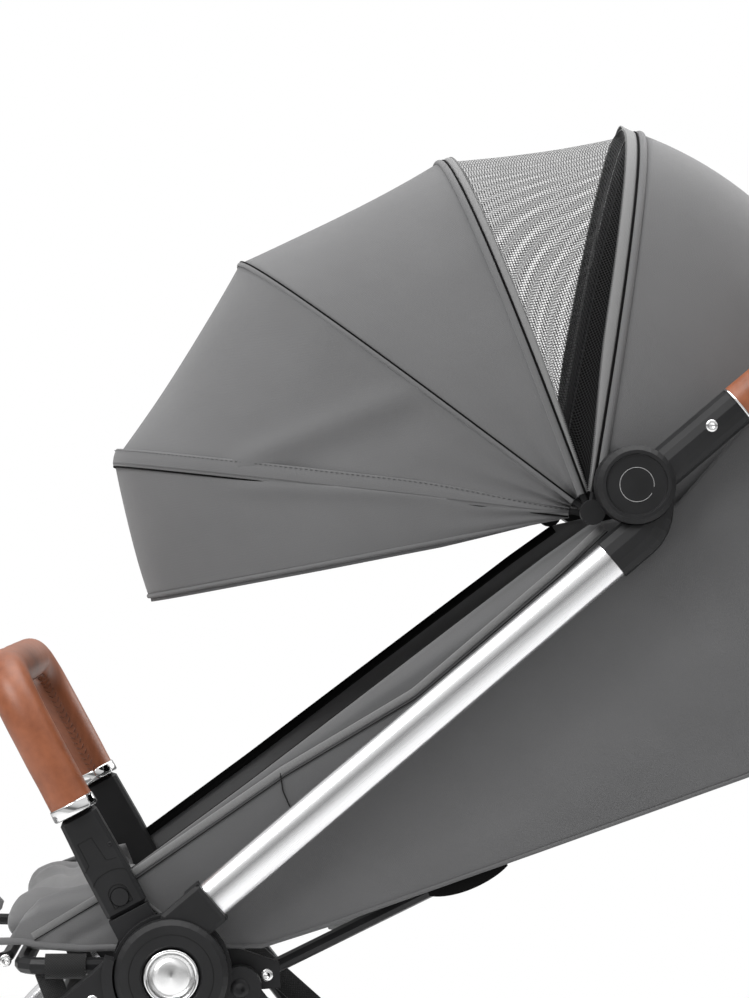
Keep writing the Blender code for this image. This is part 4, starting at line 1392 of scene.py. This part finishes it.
def seat_wing(side):
    """Cloth wing beside the seat cushion, with its binding and the rolled hem under it."""
    name = NAMES[side]
    top = flat_path([(-0.1180, 0.0400), (-0.1060, 0.0530), (-0.0870, 0.0600), (-0.0700, 0.0640),
                     (-0.0500, 0.0680)], 40)
    foot = flat_path([(-0.1300, 0.0210), (-0.0966, 0.0165), (-0.0738, 0.0148),
                      (-0.0450, 0.0155), (-0.0300, 0.0130)], 40)
    rows = []
    for i in range(17):
        t = i / 16
        row = []
        for low, high in zip(foot, top):
            place = low.lerp(high, t)
            point = Vector((place.x + HUB.x, 0, place.y + HUB.z))
            dent = crease(point, (-0.085, 0.018), (-0.052, 0.034), -0.0020, 0.004)
            o = WING_O + 0.0012 * sin(pi * t) + dent - 0.0080 * smooth_step((t - 0.72) / 0.28)
            row.append(world(place, side * o))
        rows.append(row)
    made = add_thickness(grid_piece(f"seat_wing_{name}", rows, PAD_GREY,
                                    inside=world((-0.08, 0.04), 0)), 0.0016)
    dressed(made, "frame", "grey_fabric")
    hem_line = [(-0.1370, 0.0200), (-0.1194, 0.0203), (-0.0966, 0.0160), (-0.0738, 0.0142),
                (-0.0474, 0.0150), (-0.0300, 0.0125)]
    path = resampled([world(p, side * (WING_O - 0.0010)) for p in hem_line], 60)
    hem = tube(f"seat_hem_{name}", path, 0.0030, 0.0030, PAD_GREY, 20, (0, side, 0))
    dressed(hem, "frame", "grey_fabric")
    tape = strip_rows([(-0.1125, 0.0265), (-0.0600, 0.0575)], WING_O + 0.0016, 0.0062, side, 30)
    binding = add_thickness(grid_piece(f"wing_binding_{name}", tape, BINDING,
                                       inside=world((-0.08, 0.04), 0)), 0.0005)
    dressed(binding, "frame", "grey_fabric")
    seam = tube(f"wing_seam_{name}", tape[-1], 0.0005, 0.0005, LINES, 8, (0, side, 0))
    dressed(seam, "frame", "grey_fabric")


def rail_sleeve(side):
    """Webbing sleeve round the seat rail."""
    ends = [world((x, 0), side * SEAT_RAIL_O) for x in (-0.101, -0.069)]
    made = tube(f"rail_sleeve_{NAMES[side]}", resampled(ends, 16), 0.0105, 0.0100, BLACK_WEB, 28)
    dressed(made, "frame", "grey_fabric")


def flat_strap(name, points, ways, wide, thick, material, round_off=0.02):
    """A webbing strap along points, its width in the direction ways and its edges rounded."""
    path = resampled(rounded(points, round_off, 6), 60)
    rows = []
    for k, point in enumerate(path):
        ahead = (path[min(k + 1, 59)] - path[max(k - 1, 0)]).normalized()
        beside = (ways - ahead * ways.dot(ahead)).normalized()
        up = ahead.cross(beside)
        rows.append([point + beside * a + up * b for a, b in strap_outline(wide, thick)])
    return grid_piece(name, rows, material, wrap=True, caps=True)


def strap_outline(wide, thick):
    half = wide / 2
    return [(-half, 0), (-half + thick / 2, thick / 2), (0, thick / 2), (half - thick / 2, thick / 2),
            (half, 0), (half - thick / 2, -thick / 2), (0, -thick / 2),
            (-half + thick / 2, -thick / 2)]


def harness():
    """Shoulder straps with their pads on the backrest, and lap and crotch straps to the buckle."""
    across = Vector((0, 1, 0))
    slope = tilted(BACK_HINGE, BACK_ANGLE)
    hinge = world(BACK_HINGE, 0)
    for side in SIDES:
        name = NAMES[side]
        points = [world(slope(0.352, 0.0200), side * 0.048), world(slope(0.345, 0.0350), side * 0.048),
                  world(slope(0.210, 0.0340), side * 0.043), world(slope(0.075, 0.0340), side * 0.034),
                  world((0.020, 0.0560), side * 0.024), world((-0.012, 0.0555), side * 0.014)]
        strap = flat_strap(f"shoulder_strap_{name}", points, across, 0.024, 0.0014, BLACK_WEB)
        world(slope(0.110, 0.030), 0)
        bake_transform(strap)
        pad_outline = [(0.180, 0.0350), (0.178, 0.0385), (0.190, 0.0425), (0.300, 0.0425),
                       (0.312, 0.0390), (0.310, 0.0350)]
        rows = pad_rows(pad_outline, 0.019, slope)
        rows = [[point + across * side * 0.044 for point in row] for row in rows]
        pad = grid_piece(f"shoulder_pad_{name}", rows, INNER_GREY, wrap=True, caps=True)
        dressed(inflated(pad, 0.002, 0.003), "backrest", "grey_fabric")
        box_uv(pad)
        points = [world((0.028, 0.048), side * 0.118), world((0.005, 0.0600), side * 0.090),
                  world((-0.015, 0.0555), side * 0.045), world((-0.024, 0.0530), side * 0.021)]
        lap = flat_strap(f"lap_strap_{name}", points, Vector((1, 0, 0.2)), 0.024, 0.0014, BLACK_WEB)
        dressed(lap, "frame", "grey_fabric")
    points = [world((-0.078, 0.0400), 0), world((-0.072, 0.0530), 0), world((-0.045, 0.0530), 0)]
    crotch = flat_strap("crotch_strap", points, across, 0.024, 0.0014, BLACK_WEB, 0.008)
    dressed(crotch, "frame", "grey_fabric")


# ---- basket and wheels ----------------------------------------------------------------

def basket():
    """Cloth bag under the seat: a lofted shell that sags between its corners."""
    low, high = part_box("basket")
    centre = (low + high) / 2
    reach = (high - low) / 2
    rows = []
    levels = 22
    for i in range(levels + 1):
        t = i / levels
        wall = smooth_step(min(1.0, t / 0.35) ** 0.7) if t < 0.35 else 1.0
        rise = low.z + 0.004 + (reach.z * 2 - 0.008) * max(0.0, (t - 0.35) / 0.65)
        taper = 0.90 + 0.10 * max(0.0, (t - 0.35) / 0.65)
        row = []
        for n in range(96):
            turn = 2 * pi * n / 96
            c = cos(turn)
            s = sin(turn)
            corner = (abs(c) ** 5 + abs(s) ** 5) ** (-1 / 5)
            size = max(0.02, wall) * corner * taper
            hollow = 0.0050 * sin(pi * min(1.0, max(0.0, (t - 0.35) / 0.65)))
            x = centre.x + c * size * (reach.x - 0.004) - c * hollow
            y = centre.y + s * size * (reach.y - 0.004) - s * hollow
            sag = 0.0040 * (1 - wall) - 0.0050 * abs(sin(2 * turn)) * max(0.0, t - 0.9) * 10
            row.append(Vector((x, y, rise - sag + 0.0015 * noise.noise(Vector((x, y, rise)) * 22))))
        rows.append(row + [row[0]])
    made = grid_piece("basket_bag", rows, BAG_NET, inside=centre)
    joined(made, 0.0004)
    add_thickness(made, 0.0018)
    baked(made)
    rim = tube("basket_rim", rows[-1], 0.0024, 0.0030, BINDING, 12, (0, 0, 1))
    for piece in (made, rim):
        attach(piece, "frame")
    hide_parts("basket")
    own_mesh(made)
    basket_straps(centre, reach, high.z)


def basket_straps(centre, reach, top):
    """Webbing that hangs the basket's corners from the seat frame."""
    for side in SIDES:
        for ahead in (-1, 1):
            foot = Vector((centre.x + ahead * (reach.x - 0.018), side * (reach.y - 0.006),
                           top - 0.010))
            head = world((-0.100 if ahead < 0 else 0.035, -0.004), side * (SEAT_RAIL_O - 0.002))
            strap = flat_strap(f"basket_strap_{NAMES[side]}_{'front' if ahead < 0 else 'rear'}",
                               [foot, (foot + head) / 2, head], Vector((1, 0, 0)), 0.020, 0.0014,
                               BLACK_WEB)
            dressed(strap, "frame", "grey_fabric")


def tyres():
    """Foam tyres with a tread of fine grooves round them."""
    for name, body in (("front_tyre_left", "front_wheel_left"),
                       ("front_tyre_right", "front_wheel_right"),
                       ("rear_tyre_left", "rear_wheel_left"),
                       ("rear_tyre_right", "rear_wheel_right")):
        low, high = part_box(name)
        radius = (high.x - low.x) / 2
        half = (high.y - low.y) / 2
        profile = [(radius - 0.018, -half + 0.003), (radius - 0.012, -half + 0.0008)]
        for k in range(41):
            turn = radians(-86 + 172 * k / 40)
            groove = 0.0007 if k in (14, 20, 26) else 0.0
            profile.append((radius - 0.0095 + 0.0095 * cos(turn) - groove, half * sin(turn)))
        profile += [(radius - 0.012, half - 0.0008), (radius - 0.018, half - 0.003)]
        made = lathe(f"{name}_tread", profile, (low + high) / 2, (0, 1, 0), TYRE, 96,
                     hollow=True)
        dressed(made, body, "tyre", name)


# ---- camera, light and floor ---------------------------------------------------------

def camera():
    lens = bpy.data.cameras.new("camera")
    lens.sensor_fit = "VERTICAL"
    lens.sensor_height = 36.0
    lens.lens = 126.3
    lens.clip_end = 50.0
    made = link(bpy.data.objects.new("camera", lens))
    made.location = (HUB.x + 0.063, -2.95, HUB.z + 0.338)
    made.rotation_mode = "QUATERNION"
    made.rotation_quaternion = Vector((0.0347, 1.0, 0.0114)).to_track_quat("-Z", "Y")
    bpy.context.scene.camera = made


def area_light(name, place, aim, size, power, colour=WHITE):
    lamp = bpy.data.lights.new(name, "AREA")
    lamp.shape = "RECTANGLE"
    lamp.size, lamp.size_y = size
    lamp.energy = power
    lamp.color = colour
    made = link(bpy.data.objects.new(name, lamp))
    made.location = place
    made.rotation_mode = "QUATERNION"
    made.rotation_quaternion = (Vector(aim) - Vector(place)).to_track_quat("-Z", "Y")


def studio_world():
    """Soft light from above, dim near eye level as in a real studio, and white to look at."""
    made = bpy.data.worlds.new("studio")
    made.use_nodes = True
    nodes = made.node_tree.nodes
    links = made.node_tree.links
    background = nodes["Background"]
    background.inputs["Strength"].default_value = 1.0
    place = nodes.new("ShaderNodeTexCoord")
    axes = nodes.new("ShaderNodeSeparateXYZ")
    links.new(place.outputs["Generated"], axes.inputs[0])
    ramp = nodes.new("ShaderNodeValToRGB")
    height = nodes.new("ShaderNodeMath")
    height.operation = "MULTIPLY_ADD"
    links.new(axes.outputs["Z"], height.inputs[0])
    height.inputs[1].default_value = 0.5
    height.inputs[2].default_value = 0.5
    links.new(height.outputs[0], ramp.inputs["Fac"])
    stops = ((0.0, 0.60), (0.46, 0.60), (0.49, 0.16), (0.55, 0.14), (0.61, 0.55), (0.73, 0.80),
             (1.0, 0.62))
    while len(ramp.color_ramp.elements) < len(stops):
        ramp.color_ramp.elements.new(0.5)
    for element, (place_on, level) in zip(ramp.color_ramp.elements, stops):
        element.position = place_on
        element.color = (level, level, level, 1.0)
    sight = nodes.new("ShaderNodeLightPath")
    mix = nodes.new("ShaderNodeMix")
    mix.data_type = "RGBA"
    links.new(sight.outputs["Is Camera Ray"], mix.inputs[0])
    links.new(ramp.outputs["Color"], mix.inputs[6])
    mix.inputs[7].default_value = (*WHITE, 1.0)
    links.new(mix.outputs[2], background.inputs["Color"])
    bpy.context.scene.world = made


def studio():
    """Plain pale floor and soft white light."""
    floor = lathe("studio_floor", [(0, -0.02), (FLOOR_R, -0.02), (FLOOR_R, -0.0005), (0, -0.0005)],
                  Vector((0, 0, 0)), (0, 0, 1), pale_surface("pale_floor", 0.0), 96)
    studio_world()
    bpy.context.scene.view_settings.view_transform = "Standard"
    area_light("key", (-1.9, -1.9, 2.9), (0.0, 0.0, 0.75), (2.0, 1.6), 75)
    area_light("top", (0.3, 0.1, 3.0), (0.0, 0.0, 0.8), (2.4, 2.4), 50)
    area_light("back", (1.8, 1.6, 2.2), (0.1, 0.0, 0.8), (1.4, 1.6), 30)


# ---- assembly ------------------------------------------------------------------------

def corners(bounds):
    return [[round(value, 5) for value in corner] for corner in bounds]


def build():
    seat_pad()
    backrest_pad()
    leg_rest_pad()
    harness()
    camera()
    studio()
    dress_cad_nodes()
    tyres()
    basket()
    frame_tubes()
    leg_tubes()
    rivets()
    hub_caps()
    hub_marks()
    bumper()
    adapter_details()
    handle()
    canopy_cloths()
    canopy_net()
    canopy_rear()
    visor()
    front_band()
    bow_seam("middle", "canopy_middle_bow", 0.0012, 0.0016, -0.0010)
    bow_seam("window", "canopy_window_bow", 0.0022, 0.0022, -0.0014)
    bow_seam("rear", "frame", -0.0024, 0.0024, 0.0018)
    zip_tape("window", "canopy_window_bow", -0.0024, -0.0084, 0.0)
    zip_tape("rear", "frame", 0.0028, 0.0120, 0.006)
    for side in SIDES:
        side_cloth(side)
        panel_binding(side)
        inner_edge(side)
        pocket_flap(side)
        seat_wing(side)
        rail_sleeve(side)


build()
